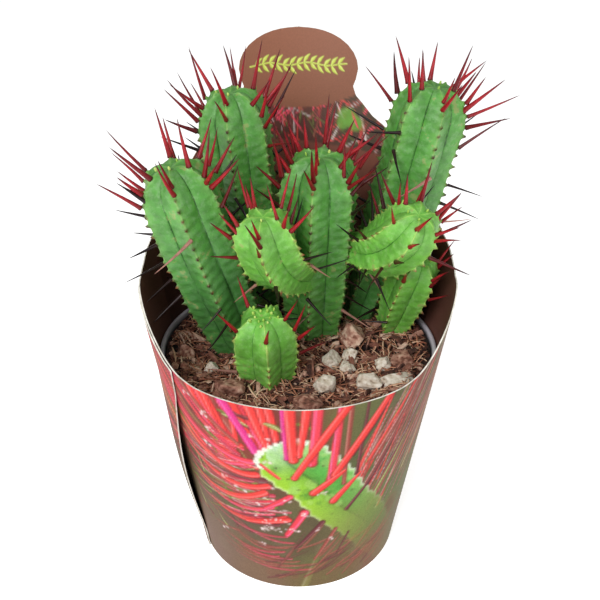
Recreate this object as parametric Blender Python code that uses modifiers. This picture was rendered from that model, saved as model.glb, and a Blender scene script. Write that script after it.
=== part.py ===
"""A pincushion euphorbia in a nursery pot, standing in a printed card sleeve.

Run it with: blender --background --python part.py, or from Blender's text editor.
Metres, +Z up. The origin is the middle of the pot's foot, on the surface that it stands on.
-Y is the front, where the card is low; the card's tall back with its round head is at +Y.
"""

import math
from dataclasses import dataclass
from functools import cache

import bmesh
import bpy
import numpy as np
from mathutils import Matrix, Vector

MM = 0.001
GAP = 0.3 * MM  # clearance left between two pieces that touch in the real object

# ---------------------------------------------------------------- driving dimensions

POT_HEIGHT = 71.2 * MM
POT_RIM_RADIUS = 42.5 * MM  # outside of the turned rim: an 8.5 cm pot
POT_RIM_DEPTH = 5.0 * MM
POT_RIM_LIP = 1.6 * MM  # how far the rim stands out from the wall
POT_WALL = 0.8 * MM
POT_FOOT_RADIUS = 29.5 * MM
POT_FLOOR = 1.2 * MM
DRAIN_COUNT = 6
DRAIN_RADIUS = 3.2 * MM
DRAIN_CIRCLE = 19.0 * MM
POT_STEPS = 48

SOIL_BELOW_RIM = 4.2 * MM
SOIL_ROUGHNESS = 0.7 * MM
SOIL_MOUND = 2.4 * MM  # extra height where the mix is heaped up at the right
MOUND_PLACE = (0.69, 0.2)  # as shares of the mix's radius
MOUND_RADIUS = 20 * MM
SOIL_RINGS = 5

CARD_THICKNESS = 0.4 * MM
CARD_TO_POT = 0.45 * MM  # between the pot's rim and the inside of the card
CARD_TO_FOOT = 2.55 * MM  # between the pot's foot and the inside of the card
CARD_FRONT_HEIGHT = POT_HEIGHT + 6.3 * MM
CARD_SIDE_HEIGHT = POT_HEIGHT + 22.8 * MM
CARD_BACK_HEIGHT = POT_HEIGHT + 83.4 * MM
HEAD_HALF_WIDTH = 19.1 * MM
HEAD_HALF_HEIGHT = 12.0 * MM
NECK_HALF_WIDTH = 17.6 * MM
NECK_BELOW_HEAD = 5.5 * MM  # from the middle of the head
SEAM_ANGLE = math.radians(-57)  # from the front, towards -X
SEAM_OVERLAP = math.radians(26)
SEAM_LIFT = math.radians(50)  # the stretch over which the outer end moves outwards
SEAM_STEP = CARD_THICKNESS + 0.35 * MM  # how far the outer end lies outside the inner end
CARD_COLUMNS = 84
CARD_ROWS = 6

CARD_CLIMB = (POT_RIM_RADIUS + CARD_TO_POT) - (POT_FOOT_RADIUS + CARD_TO_FOOT)
CARD_TAPER = CARD_CLIMB / POT_HEIGHT  # how much the radius grows for each unit of height

RIB_VALLEY = {5: 0.66, 6: 0.71}  # radius in the valley, as a share of the rib's radius
RIB_FLANK = {5: 0.84, 6: 0.87}  # radius halfway down a rib's side
STEM_BURIED = 7.0 * MM
SPINE_RADIUS = 0.85 * MM
SPINE_SIDES = 4
SPINE_ROOT = 1.6 * MM  # how deep a spine starts inside its rib
SPINE_AGED = 42.0  # millimetres below the tip where spines are level and thin
SPINE_LOWEST = 0.14  # share of a stem's length below which it carries none
SPINE_DROPS = (1.0, 5.0, 10.5, 18.0, 27.0, 37.0, 48.0)  # millimetres below the tip, row by row
SPINE_TESTS = 20  # places along a spine where its clearances are tested
SPINE_CLEARANCE = 1.2 * MM  # between a spine and a neighbouring stem
CARD_CLEARANCE = 2.2 * MM  # between a spine and the card
STEM_TO_CARD = 0.5 * MM  # between a stem's ribs and the card

# ---------------------------------------------------------------- finishes

FINISHES = {
    "card": ("#7A4A3C", 0.5, 0.0),
    "pot": ("#3E3D42", 0.45, 0.0),
    "soil": ("#5B3A2A", 0.95, 0.0),
    "stem": ("#4E9A3C", 0.5, 0.0),
    "young_stem": ("#76BE45", 0.5, 0.0),
    "pumice": ("#C9C0B2", 0.9, 0.0),
    "bark": ("#7B4A3A", 0.9, 0.0),
}


def linear(channel: float) -> float:
    """One sRGB channel, from 0 to 1, as linear light."""
    return channel / 12.92 if channel <= 0.04045 else ((channel + 0.055) / 1.055) ** 2.4


def finish(name: str) -> bpy.types.Material:
    """The named Principled material, made on first use."""
    material = bpy.data.materials.get(name)
    if material:
        return material
    colour, roughness, metallic = FINISHES[name]
    material = bpy.data.materials.new(name)
    material.use_nodes = True
    shader = material.node_tree.nodes["Principled BSDF"]
    red, green, blue = (linear(int(colour[i : i + 2], 16) / 255) for i in (1, 3, 5))
    shader.inputs["Base Color"].default_value = (red, green, blue, 1.0)
    shader.inputs["Roughness"].default_value = roughness
    shader.inputs["Metallic"].default_value = metallic
    material.diffuse_color = (red, green, blue, 1.0)
    return material


# ---------------------------------------------------------------- scene and object helpers

PARTS = "potted_euphorbia"
CUTTERS = "cutters"


def clear_scene() -> None:
    """Removes what the startup scene holds and makes the two collections."""
    for obj in list(bpy.data.objects):
        bpy.data.objects.remove(obj, do_unlink=True)
    for name in (PARTS, CUTTERS):
        collection = bpy.data.collections.new(name)
        bpy.context.scene.collection.children.link(collection)


def add_object(name: str, mesh: bpy.types.Mesh, material: str) -> bpy.types.Object:
    """A part with its finish, in the parts collection."""
    obj = bpy.data.objects.new(name, mesh)
    bpy.data.collections[PARTS].objects.link(obj)
    mesh.materials.append(finish(material))
    return obj


def add_cutter(name: str, mesh: bpy.types.Mesh) -> bpy.types.Object:
    """A helper that cuts or joins a part, and is never one itself."""
    obj = bpy.data.objects.new(name, mesh)
    bpy.data.collections[CUTTERS].objects.link(obj)
    obj.hide_render = True
    obj.display_type = "WIRE"
    return obj


def boolean(obj: bpy.types.Object, other: bpy.types.Object, operation: str) -> None:
    """Cuts obj by other, joins other to it, or keeps what they share."""
    modifier = obj.modifiers.new(f"{operation.lower()}_{other.name}", "BOOLEAN")
    modifier.operation = operation
    modifier.object = other
    modifier.use_self = operation == "UNION"


def mesh_from(bm: bmesh.types.BMesh, name: str) -> bpy.types.Mesh:
    """The finished mesh of a bmesh, with its faces pointing out."""
    bmesh.ops.recalc_face_normals(bm, faces=bm.faces)
    mesh = bpy.data.meshes.new(name)
    bm.to_mesh(mesh)
    bm.free()
    return mesh


def loft(rings: list[list[Vector]], bm: bmesh.types.BMesh) -> None:
    """Joins closed rings of equally many points with triangles, and closes both ends."""
    loops = [[bm.verts.new(point) for point in ring] for ring in rings]
    count = len(loops[0])
    for low, high in zip(loops, loops[1:]):
        for i in range(count):
            j = (i + 1) % count
            bm.faces.new((low[i], low[j], high[j]))
            bm.faces.new((low[i], high[j], high[i]))
    for ring, order in ((loops[0], -1), (loops[-1], 1)):
        middle = bm.verts.new(sum((v.co for v in ring), Vector()) / count)
        for i in range(count):
            pair = (ring[i], ring[(i + 1) % count])[::order]
            bm.faces.new((*pair, middle))


def turned(name: str, profile: list[tuple[float, float]], steps: int) -> bpy.types.Mesh:
    """A closed body turned round +Z from (radius, height) points that run down its outer side."""
    bm = bmesh.new()
    verts = [bm.verts.new((radius, 0.0, height)) for radius, height in profile]
    for low, high in zip(verts, verts[1:]):
        bm.edges.new((low, high))
    outline = bpy.data.meshes.new(f"{name}_outline")
    bm.to_mesh(outline)
    bm.free()
    helper = add_cutter(f"{name}_turning", outline)
    screw = helper.modifiers.new("turn", "SCREW")
    screw.steps = screw.render_steps = steps
    screw.use_merge_vertices = True
    screw.merge_threshold = 0.01 * MM
    graph = bpy.context.evaluated_depsgraph_get()
    mesh = bpy.data.meshes.new_from_object(helper.evaluated_get(graph))
    mesh.name = name
    bpy.data.objects.remove(helper, do_unlink=True)
    return mesh


def vary(*keys: int) -> float:
    """A fixed pseudo-random share from 0 to 1 for these whole numbers."""
    total = sum(key * weight for key, weight in zip(keys, (12.9898, 78.233, 37.719, 54.581)))
    return math.modf(abs(math.sin(total) * 43758.5453))[0]


def mix(low: float, high: float, share: float) -> float:
    """The value that share of the way from low to high."""
    return low + (high - low) * share


def ease(share: float) -> float:
    """A smooth step from 0 to 1, flat at both ends."""
    share = min(1.0, max(0.0, share))
    return share * share * (3 - 2 * share)


# ---------------------------------------------------------------- the nursery pot


def pot_outer_radius(height: float) -> float:
    """Outside of the pot's wall below the rim."""
    top = POT_RIM_RADIUS - POT_RIM_LIP
    return mix(POT_FOOT_RADIUS, top, height / POT_HEIGHT)


def build_pot() -> bpy.types.Object:
    """The thin black pot: floor with drain holes, tapered wall and a turned rim."""
    rim_low = POT_HEIGHT - POT_RIM_DEPTH
    wall_top = pot_outer_radius(POT_HEIGHT)
    profile = [
        (wall_top - POT_WALL, POT_HEIGHT),
        (POT_RIM_RADIUS, POT_HEIGHT),
        (POT_RIM_RADIUS - CARD_TAPER * POT_RIM_DEPTH, rim_low),
        (pot_outer_radius(rim_low), rim_low),
        (POT_FOOT_RADIUS, 0.0),
        (0.0, 0.0),
    ]
    inside = [
        (0.0, POT_FLOOR),
        (pot_outer_radius(POT_FLOOR) - POT_WALL, POT_FLOOR),
        (wall_top - POT_WALL, POT_HEIGHT),
    ]
    mesh = turned("nursery_pot", profile + inside, POT_STEPS)
    pot = add_object("nursery_pot", mesh, "pot")
    bm = bmesh.new()
    for i in range(DRAIN_COUNT):
        turn = Matrix.Rotation(2 * math.pi * i / DRAIN_COUNT, 4, "Z")
        place = turn @ Matrix.Translation((DRAIN_CIRCLE, 0.0, POT_FLOOR / 2))
        bmesh.ops.create_cone(
            bm,
            cap_ends=True,
            segments=12,
            radius1=DRAIN_RADIUS,
            radius2=DRAIN_RADIUS,
            depth=3 * POT_FLOOR,
            matrix=place,
        )
    boolean(pot, add_cutter("drain_holes", mesh_from(bm, "drain_holes")), "DIFFERENCE")
    return pot


# ---------------------------------------------------------------- the growing mix


SOIL_TOP = POT_HEIGHT - SOIL_BELOW_RIM
SOIL_RADIUS = pot_outer_radius(SOIL_TOP) - POT_WALL - GAP


def in_pot(place: tuple[float, float]) -> Vector:
    """A place on the growing mix, given as shares of its radius."""
    return Vector((place[0] * SOIL_RADIUS, place[1] * SOIL_RADIUS))


def soil_height(x: float, y: float) -> float:
    """Height of the growing mix at a place in the pot."""
    waves = math.sin(x / (9 * MM) + 1.3) * math.cos(y / (7 * MM)) + 0.6 * math.sin(
        (x - 2 * y) / (6 * MM)
    )
    heap = ease(1.0 - (Vector((x, y)) - in_pot(MOUND_PLACE)).length / MOUND_RADIUS)
    return SOIL_TOP + SOIL_ROUGHNESS * waves + SOIL_MOUND * heap


def build_soil() -> bpy.types.Object:
    """The plug of growing mix that fills the pot, with an uneven top."""
    floor = POT_FLOOR + GAP
    low_radius = pot_outer_radius(floor) - POT_WALL - GAP
    top = [(SOIL_RADIUS * i / SOIL_RINGS, SOIL_TOP) for i in range(SOIL_RINGS + 1)]
    mesh = turned("soil", top + [(low_radius, floor), (0.0, floor)], POT_STEPS)
    for vertex in mesh.vertices:
        x, y, z = vertex.co
        if z > SOIL_TOP - GAP:
            level = 1.0 - ease((math.hypot(x, y) / SOIL_RADIUS - 0.8) / 0.2)
            vertex.co.z = mix(SOIL_TOP, soil_height(x, y), level)
    return add_object("soil", mesh, "soil")


# ---------------------------------------------------------------- the card sleeve


def card_radius(height: float) -> float:
    """Inside of the card where it isn't doubled."""
    at_rim = POT_RIM_RADIUS + CARD_TO_POT
    return at_rim + CARD_TAPER * (height - POT_HEIGHT)


def card_point(turn: float, height: float) -> Vector:
    """A point on the inside of the card. turn is measured from the card's inner end.

    The card is wound more than once round, so that its outer end laps over the inner one.
    """
    full = 2 * math.pi
    lift = SEAM_STEP * ease((turn - full + SEAM_LIFT) / SEAM_LIFT)
    angle = SEAM_ANGLE - SEAM_OVERLAP + turn
    radius = card_radius(height) + lift
    return Vector((radius * math.sin(angle), -radius * math.cos(angle), height))


def card_outline_back() -> list[tuple[float, float]]:
    """The card's upper edge behind the plant, as (x, z), from the side to the top of the head."""
    head_middle = CARD_BACK_HEIGHT - HEAD_HALF_HEIGHT
    neck_height = head_middle - NECK_BELOW_HEAD
    side = card_radius(CARD_SIDE_HEIGHT)
    steps = (
        (1.04, 0.0),
        (0.999, 0.04),
        (0.986, 0.105),
        (0.956, 0.158),
        (0.918, 0.233),
        (0.899, 0.28),
        (0.757, 0.5),
        (0.594, 0.744),
        (0.515, 0.80),
        (0.452, 0.877),
        (0.400, 0.935),
    )
    edge = [(side * x, mix(CARD_SIDE_HEIGHT, neck_height, share)) for x, share in steps]
    edge.append((NECK_HALF_WIDTH, neck_height))
    for degrees in (-16, 0, 16, 32, 48, 62, 76, 90):
        angle = math.radians(degrees)
        across = HEAD_HALF_WIDTH * max(0.0, math.cos(angle)) ** 0.9
        edge.append((across, head_middle + HEAD_HALF_HEIGHT * math.sin(angle)))
    return edge


def card_outline_front() -> list[tuple[float, float]]:
    """The card's upper edge in front of the plant, as (x, z), from the side to the middle."""
    side = card_radius(CARD_SIDE_HEIGHT)
    steps = (
        (1.04, 1.0),
        (0.986, 0.96),
        (0.965, 0.82),
        (0.929, 0.67),
        (0.869, 0.455),
        (0.795, 0.212),
        (0.718, 0.055),
        (0.61, 0.0),
        (0.0, 0.0),
    )
    return [(side * x, mix(CARD_FRONT_HEIGHT, CARD_SIDE_HEIGHT, share)) for x, share in steps]


def outline_prism(
    name: str, edge: list[tuple[float, float]], near: float, far: float
) -> bpy.types.Object:
    """A block under a symmetric upper edge, from y = near to y = far, as a flat curve thickened."""
    mirrored = [(-x, z) for x, z in reversed(edge) if x > 0]
    points = edge + mirrored
    side = points[0][0]
    points = [(side, 0.0)] + points + [(-side, 0.0)]
    curve = bpy.data.curves.new(name, "CURVE")
    curve.dimensions = "2D"
    curve.fill_mode = "BOTH"
    curve.extrude = (far - near) / 2
    spline = curve.splines.new("POLY")
    spline.points.add(len(points) - 1)
    for point, (x, z) in zip(spline.points, points):
        point.co = (x, z, 0.0, 1.0)
    spline.use_cyclic_u = True
    drawn = bpy.data.objects.new(name, curve)
    bpy.data.collections[CUTTERS].objects.link(drawn)
    drawn.matrix_world = Matrix.Translation((0, (near + far) / 2, 0)) @ Matrix.Rotation(
        math.radians(90), 4, "X"
    )
    bpy.context.view_layer.update()
    graph = bpy.context.evaluated_depsgraph_get()
    mesh = bpy.data.meshes.new_from_object(drawn.evaluated_get(graph))
    mesh.transform(drawn.matrix_world)
    bpy.data.objects.remove(drawn, do_unlink=True)
    bm = bmesh.new()
    bm.from_mesh(mesh)
    bmesh.ops.remove_doubles(bm, verts=bm.verts, dist=0.001 * MM)
    return add_cutter(name, mesh_from(bm, name))


def build_card() -> bpy.types.Object:
    """The printed card: a strip wound into a cone, lapped at the seam and cut to its outline."""
    full_turn = 2 * math.pi + SEAM_OVERLAP
    low, top = -2 * MM, CARD_BACK_HEIGHT + 3 * MM
    bm = bmesh.new()
    bmesh.ops.create_grid(bm, x_segments=CARD_COLUMNS, y_segments=CARD_ROWS, size=0.5)
    for vertex in bm.verts:
        across, up = vertex.co.x + 0.5, vertex.co.y + 0.5
        vertex.co = card_point(across * full_turn, mix(low, top, up))
    card = add_object("card_sleeve", mesh_from(bm, "card_sleeve"), "card")
    wall = card.modifiers.new("wall", "SOLIDIFY")
    wall.thickness = CARD_THICKNESS
    wall.offset = 1.0 if faces_outward(card.data) else -1.0
    reach = 90 * MM
    back = outline_prism("outline_back", card_outline_back(), 0.0, reach)
    front = outline_prism("outline_front", card_outline_front(), -reach, 0.02 * MM)
    boolean(back, front, "UNION")
    boolean(card, back, "INTERSECT")
    return card


def faces_outward(mesh: bpy.types.Mesh) -> bool:
    """Whether an open sheet round the Z axis has its normals pointing away from that axis."""
    face = mesh.polygons[0]
    return face.normal.xy.dot(face.center.xy) > 0


# ---------------------------------------------------------------- the stems


@dataclass(frozen=True)
class Stem:
    """One ribbed stem: where it starts, where it reaches, its girth, its ribs and its spines.

    A rooted stem starts at a place in the pot, in shares of the mix's radius. A branch names its
    parent, starts at a share of the parent's length, and is set off from the parent's middle line.
    Lengths are in millimetres, and phase is the angle of the first rib from the front, in degrees.
    """

    name: str
    reach: tuple[float, float, float]  # from foot to tip
    radius: float
    foot_radius: float
    ribs: int
    phase: float
    seed: int
    place: tuple[float, float] = (0.0, 0.0)
    parent: str = ""
    joins: float = 0.0
    offset: tuple[float, float, float] = (0.0, 0.0, 0.0)
    bow: tuple[float, float, float] = (0.0, 0.0, 0.0)  # the middle's distance off a straight line
    material: str = "stem"
    spine_rows: int = 7
    spine_length: float = 16.0
    fullest: float = 0.62  # where along its length it is thickest


STEMS = [
    Stem(
        "stem_left", (-18.0, -11.0, 64.0), 11.8, 9.6, 6, -7, 1,
        place=(-0.434, 0.153), bow=(-1.0, -0.5, 0.0),
    ),
    Stem(
        "stem_back_left", (-5.8, -7.5, 78.0), 11.3, 8.6, 6, -6, 2,
        place=(-0.358, 0.652), bow=(0.5, 1.0, 0.0),
    ),
    Stem(
        "stem_centre", (1.2, -11.0, 63.5), 12.3, 9.8, 6, -11, 3,
        place=(0.128, 0.409), bow=(0.0, 0.5, 0.0),
    ),
    Stem(
        "stem_back_right", (18.5, -8.0, 80.5), 11.0, 6.2, 6, 12, 4,
        place=(0.524, 0.588), bow=(1.6, 0.0, 0.0),
    ),
    Stem(
        "stem_low_right", (7.5, -9.0, 31.0), 7.9, 4.8, 5, -36, 5,
        place=(0.754, 0.319), material="young_stem", spine_rows=4, spine_length=11.0,
    ),
    Stem(
        "stem_front", (-0.7, -5.5, 24.0), 9.8, 8.2, 5, 7, 6,
        place=(-0.238, -0.294), material="young_stem", spine_rows=4, spine_length=12.0, fullest=0.4,
    ),
    Stem(
        "branch_left", (-11.6, -21.0, 30.0), 9.5, 4.4, 5, -8, 7,
        parent="stem_centre", joins=0.378, offset=(-3.4, -7.3, 0.0), bow=(-2.5, -2.5, -3.0),
        material="young_stem", spine_rows=5, spine_length=13.0, fullest=0.6,
    ),
    Stem(
        "branch_right", (16.0, -22.0, 22.0), 9.3, 5.2, 6, -5, 8,
        parent="stem_centre", joins=0.488, offset=(11.4, -2.1, 0.0), bow=(2.0, -1.5, -3.0),
        material="young_stem", spine_rows=5, spine_length=13.0, fullest=0.55,
    ),
]
BY_NAME = {stem.name: stem for stem in STEMS}
DOME_START = 0.93  # share of a stem's length above which its sections lie closer together
DOME_STATIONS = (DOME_START, 0.965, 0.986, 0.997)
BODY_STATIONS = 9
ROUND_FOOT = 0.02  # share of a stem's length over which its ribs begin


def stem_lean(stem: Stem, share: float) -> Vector:
    """How far the middle line has moved from the foot, share of the way to the tip."""
    return Vector(stem.reach) * MM * share + Vector(stem.bow) * MM * (4 * share * (1 - share))


@cache
def stem_foot(stem: Stem) -> Vector:
    """Where a stem's middle line starts: level with the growing mix, or inside its parent.

    A stem that would lean into the card stands further in.
    """
    if stem.parent:
        return stem_centre(BY_NAME[stem.parent], stem.joins) + Vector(stem.offset) * MM
    foot = Vector((*in_pot(stem.place), SOIL_TOP))
    inward, most = Vector(), 0.0
    for i in range(41):
        at = foot + stem_lean(stem, i / 40)
        excess = at.xy.length + stem_girth(stem, i / 40) + STEM_TO_CARD - card_radius(at.z)
        if excess > most and at.z < card_edge(at.x, at.y) + CARD_CLEARANCE:
            most = excess
            inward = Vector((-at.x, -at.y, 0.0)).normalized() * excess
    return foot + inward


def stem_centre(stem: Stem, share: float) -> Vector:
    """A point on the stem's middle line, share of the way from foot to tip."""
    return stem_foot(stem) + stem_lean(stem, share)


def stem_frame(stem: Stem, share: float) -> tuple[Vector, Vector, Vector]:
    """Directions at a point of the middle line: along the stem, to its front and to its side."""
    step = 0.01
    along = (stem_centre(stem, share + step) - stem_centre(stem, share - step)).normalized()
    front = Vector((0, -1, 0))
    front = (front - along * front.dot(along)).normalized()
    return along, front, along.cross(front)


def stem_girth(stem: Stem, share: float) -> float:
    """Radius at the rib's edge: narrow at the foot, fullest above the middle, domed at the tip."""
    if share < 0:
        return stem.foot_radius * MM * (1 + 1.5 * share)
    swell = mix(stem.foot_radius, stem.radius, ease((share + 0.08) / stem.fullest) ** 0.8)
    dome_start = 1 - 1.15 * stem.radius * MM / stem_length(stem)
    if share > dome_start:
        within = (share - dome_start) / (1 - dome_start)
        swell *= math.sqrt(max(0.0, 1 - within**2.6))
    return swell * MM


def stem_length(stem: Stem) -> float:
    """Straight distance from foot to tip."""
    return Vector(stem.reach).length * MM


def rib_edge(stem: Stem, share: float, rib: int) -> Vector:
    """A point on the edge of one rib."""
    along, front, side = stem_frame(stem, share)
    angle = math.radians(stem.phase) + 2 * math.pi * rib / stem.ribs
    out = front * math.cos(angle) + side * math.sin(angle)
    return stem_centre(stem, share) + out * stem_girth(stem, share)


def section(stem: Stem, share: float, grow: float) -> list[Vector]:
    """The closed section of a stem: a star of ribs, round where it is in the growing mix."""
    along, front, side = stem_frame(stem, max(share, 0.0))
    radius = stem_girth(stem, share)
    ribbed = ease(share / ROUND_FOOT + 1)
    levels = (1.0, RIB_FLANK[stem.ribs], RIB_VALLEY[stem.ribs], RIB_FLANK[stem.ribs])
    middle = stem_centre(stem, max(share, 0.0)) + along * min(share, 0.0) * stem_length(stem)
    points = []
    for i in range(stem.ribs * len(levels)):
        angle = math.radians(stem.phase) + 2 * math.pi * i / (stem.ribs * len(levels))
        out = front * math.cos(angle) + side * math.sin(angle)
        level = mix(RIB_FLANK[stem.ribs], levels[i % len(levels)], ribbed)
        points.append(middle + out * (radius * level + grow))
    return points


def stem_stations(stem: Stem) -> list[float]:
    """Where the sections of a stem lie, closer together in its dome."""
    body = [] if stem.parent else [-STEM_BURIED / stem_length(stem)]
    body += [DOME_START * i / BODY_STATIONS for i in range(BODY_STATIONS)]
    return body + list(DOME_STATIONS)


def stem_solid(stem: Stem, grow: float = 0.0) -> bpy.types.Mesh:
    """The closed body of a stem without its spines, swollen by grow."""
    rings = [section(stem, share, grow) for share in stem_stations(stem)]
    along, _, _ = stem_frame(stem, 0.0)
    rings[0] = [point - along * grow for point in rings[0]]
    bm = bmesh.new()
    loft(rings, bm)
    return mesh_from(bm, stem.name)


@dataclass(frozen=True)
class Spine:
    """One straight spine: its root on a rib, its point, and its radius at the root."""

    root: Vector
    point: Vector
    radius: float


def card_edge(x: float, y: float) -> float:
    """Height of the card's upper edge where it passes nearest to a place."""
    edge = sorted(card_outline_back() if y > 0 else card_outline_front())
    return float(np.interp(abs(x), [point[0] for point in edge], [point[1] for point in edge]))


def clear_of_solids(stem: Stem, spine: Spine) -> bool:
    """Whether a spine stays clear of the other stems, the growing mix and the card."""
    for i in range(1, SPINE_TESTS + 1):
        at = spine.root.lerp(spine.point, i / SPINE_TESTS)
        if at.z < SOIL_TOP + 4 * MM:
            return False
        near_card = math.hypot(at.x, at.y) > card_radius(at.z) - CARD_CLEARANCE
        if near_card and at.z < card_edge(at.x, at.y) + CARD_CLEARANCE:
            return False
        for other in STEMS:
            if other is stem:
                continue
            for j in range(33):
                share = j / 32
                reach = stem_girth(other, min(share, 0.97)) + SPINE_CLEARANCE + spine.radius
                if (at - stem_centre(other, share)).length < reach:
                    return False
    return True


def clear_of_spines(spine: Spine, placed: list[Spine]) -> bool:
    """Whether a spine stays clear of the spines that other stems already have."""
    for other in placed:
        reach = other.point - other.root
        for i in range(13):
            at = spine.root.lerp(spine.point, i / 12)
            share = (at - other.root).dot(reach) / reach.length_squared
            nearest = other.root + reach * min(1.0, max(0.0, share))
            if (at - nearest).length < spine.radius + other.radius + SPINE_CLEARANCE / 2:
                return False
    return True


def stem_spines(stem: Stem, placed: list[Spine]) -> list[Spine]:
    """The spines of a stem, rib by rib: upright round the tip and level or drooping lower down.

    placed holds the spines of the stems built before it.
    """
    found = []
    for rib in range(stem.ribs):
        for row in range(stem.spine_rows):
            below_tip = SPINE_DROPS[row] + 2.6 * (rib % 2) + 1.6 * vary(stem.seed, rib, row)
            share = 0.985 - below_tip * MM / stem_length(stem)
            if share < SPINE_LOWEST:
                continue
            along, _, _ = stem_frame(stem, share)
            edge = rib_edge(stem, share, rib)
            out = (edge - stem_centre(stem, share)).normalized()
            age = min(1.0, below_tip / SPINE_AGED)
            lean = math.radians(mix(16, 100, age**0.6) + 16 * (vary(stem.seed, rib, row, 1) - 0.5))
            direction = along * math.cos(lean) + out * math.sin(lean)
            length = stem.spine_length * mix(1.12, 0.78, age) * MM
            length *= mix(0.82, 1.15, vary(stem.seed, rib, row, 2))
            radius = SPINE_RADIUS * mix(1.0, 0.72, age)
            root = edge - out * SPINE_ROOT
            found.append(Spine(root, edge + direction * length, radius))
    found = [spine for spine in found if clear_of_solids(stem, spine)]
    return [spine for spine in found if clear_of_spines(spine, placed)]


def spine_solids(stem: Stem, spines: list[Spine]) -> bpy.types.Object:
    """All spines of a stem as pointed cones, ready to be joined to it."""
    bm = bmesh.new()
    for spine in spines:
        reach = spine.point - spine.root
        turn = reach.to_track_quat("Z", "Y").to_matrix().to_4x4()
        place = Matrix.Translation(spine.root.lerp(spine.point, 0.5)) @ turn
        bmesh.ops.create_cone(
            bm,
            cap_ends=True,
            segments=SPINE_SIDES,
            radius1=spine.radius,
            radius2=0.0,
            depth=reach.length,
            matrix=place,
        )
    return add_cutter(f"{stem.name}_spines", mesh_from(bm, f"{stem.name}_spines"))


def build_stem(stem: Stem, placed: list[Spine]) -> bpy.types.Object:
    """A stem with its spines, which grew as one piece. Its spines are added to placed."""
    obj = add_object(stem.name, stem_solid(stem), stem.material)
    spines = stem_spines(stem, placed)
    placed += spines
    boolean(obj, spine_solids(stem, spines), "UNION")
    return obj


def crowds(stem: Stem, other: Stem) -> bool:
    """Whether two stems come so near that one has to give way to the other."""
    for i in range(41):
        for j in range(41):
            apart = (stem_centre(stem, i / 40) - stem_centre(other, j / 40)).length
            if apart < stem_girth(stem, i / 40) + stem_girth(other, j / 40) + GAP:
                return True
    return False


def seat_stem(obj: bpy.types.Object, stem: Stem, before: list[Stem]) -> None:
    """Cuts a stem to those built before it: a branch to its parent, a crowded stem to the next."""
    for other in before:
        if crowds(stem, other):
            cutter = add_cutter(f"{stem.name}_seat_on_{other.name}", stem_solid(other, GAP))
            boolean(obj, cutter, "DIFFERENCE")


# ---------------------------------------------------------------- stones and bark on the soil


@dataclass(frozen=True)
class Chip:
    """A loose piece on the growing mix.

    Its place is in shares of the mix's radius, its size in millimetres and its turn in degrees.
    """

    name: str
    place: tuple[float, float]
    size: tuple[float, float, float]
    turn: float
    material: str = "pumice"


CHIPS = [
    Chip("bark_nugget", (0.434, 0.092), (6.2, 6.0, 5.6), 20, "bark"),
    Chip("pumice_1", (0.256, -0.184), (5.0, 4.4, 4.0), 40),
    Chip("pumice_2", (0.404, -0.112), (4.2, 4.0, 3.8), -20),
    Chip("pumice_3", (0.378, -0.281), (3.8, 4.4, 3.2), 15),
    Chip("pumice_4", (0.194, -0.503), (5.0, 5.8, 4.4), -30),
    Chip("pumice_5", (0.532, -0.491), (5.6, 5.6, 4.4), 35),
    Chip("pumice_6", (0.731, -0.486), (8.6, 4.6, 4.2), 28),
    Chip("pumice_7", (0.654, -0.235), (4.2, 4.0, 3.6), 60),
    Chip("pumice_8", (-0.664, -0.266), (3.4, 3.0, 3.0), 10),
    Chip("bark_1", (0.808, -0.24), (6.2, 6.0, 3.8), 75, "bark"),
    Chip("bark_2", (0.077, -0.721), (7.4, 6.6, 3.8), 10, "bark"),
    Chip("bark_3", (-0.521, -0.562), (8.4, 6.0, 4.4), -25, "bark"),
    Chip("bark_4", (-0.879, -0.115), (4.2, 4.6, 4.2), 5, "bark"),
]


def chip_mesh(chip: Chip, seed: int, grow: float = 0.0) -> bpy.types.Mesh:
    """A lumpy stone or bark chip, half sunk in the growing mix, swollen by grow."""
    bm = bmesh.new()
    bmesh.ops.create_icosphere(bm, subdivisions=1, radius=0.5)
    for i, vertex in enumerate(bm.verts):
        vertex.co *= mix(0.86, 1.1, vary(seed, i, 3))
    x, y = in_pot(chip.place)
    sizes = [value * MM + 2 * grow for value in chip.size]
    height = soil_height(x, y) + 0.22 * chip.size[2] * MM
    place = Matrix.Translation((x, y, height)) @ Matrix.Rotation(math.radians(chip.turn), 4, "Z")
    bmesh.ops.transform(bm, matrix=place @ Matrix.Diagonal((*sizes, 1.0)), verts=bm.verts)
    return mesh_from(bm, chip.name)


def build_chips(soil: bpy.types.Object) -> None:
    """The stones and bark chips, each in its own hollow in the growing mix."""
    for seed, chip in enumerate(CHIPS):
        add_object(chip.name, chip_mesh(chip, seed), chip.material)
        hollow = add_cutter(f"{chip.name}_hollow", chip_mesh(chip, seed, 1.6 * GAP))
        boolean(soil, hollow, "DIFFERENCE")


# ---------------------------------------------------------------- assembly


def main() -> None:
    """Builds the whole object."""
    clear_scene()
    build_pot()
    build_card()
    soil = build_soil()
    placed = []
    for i, stem in enumerate(STEMS):
        obj = build_stem(stem, placed)
        seat_stem(obj, stem, STEMS[:i])
        if not stem.parent:
            socket = add_cutter(f"{stem.name}_socket", stem_solid(stem, GAP))
            boolean(soil, socket, "DIFFERENCE")
    build_chips(soil)


main()
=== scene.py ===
"""Looks of a potted pincushion euphorbia in a printed card sleeve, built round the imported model.

Metres, +Z up, -Y the front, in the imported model's own frame. Sizes of small things are written in
millimetres and turned to metres with MM. Angles round the card are degrees from the front, +X positive.
"""

import logging
import math
from dataclasses import dataclass, field
from enum import Enum
from typing import Callable

import bpy
import numpy as np
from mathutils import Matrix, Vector, noise


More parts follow.
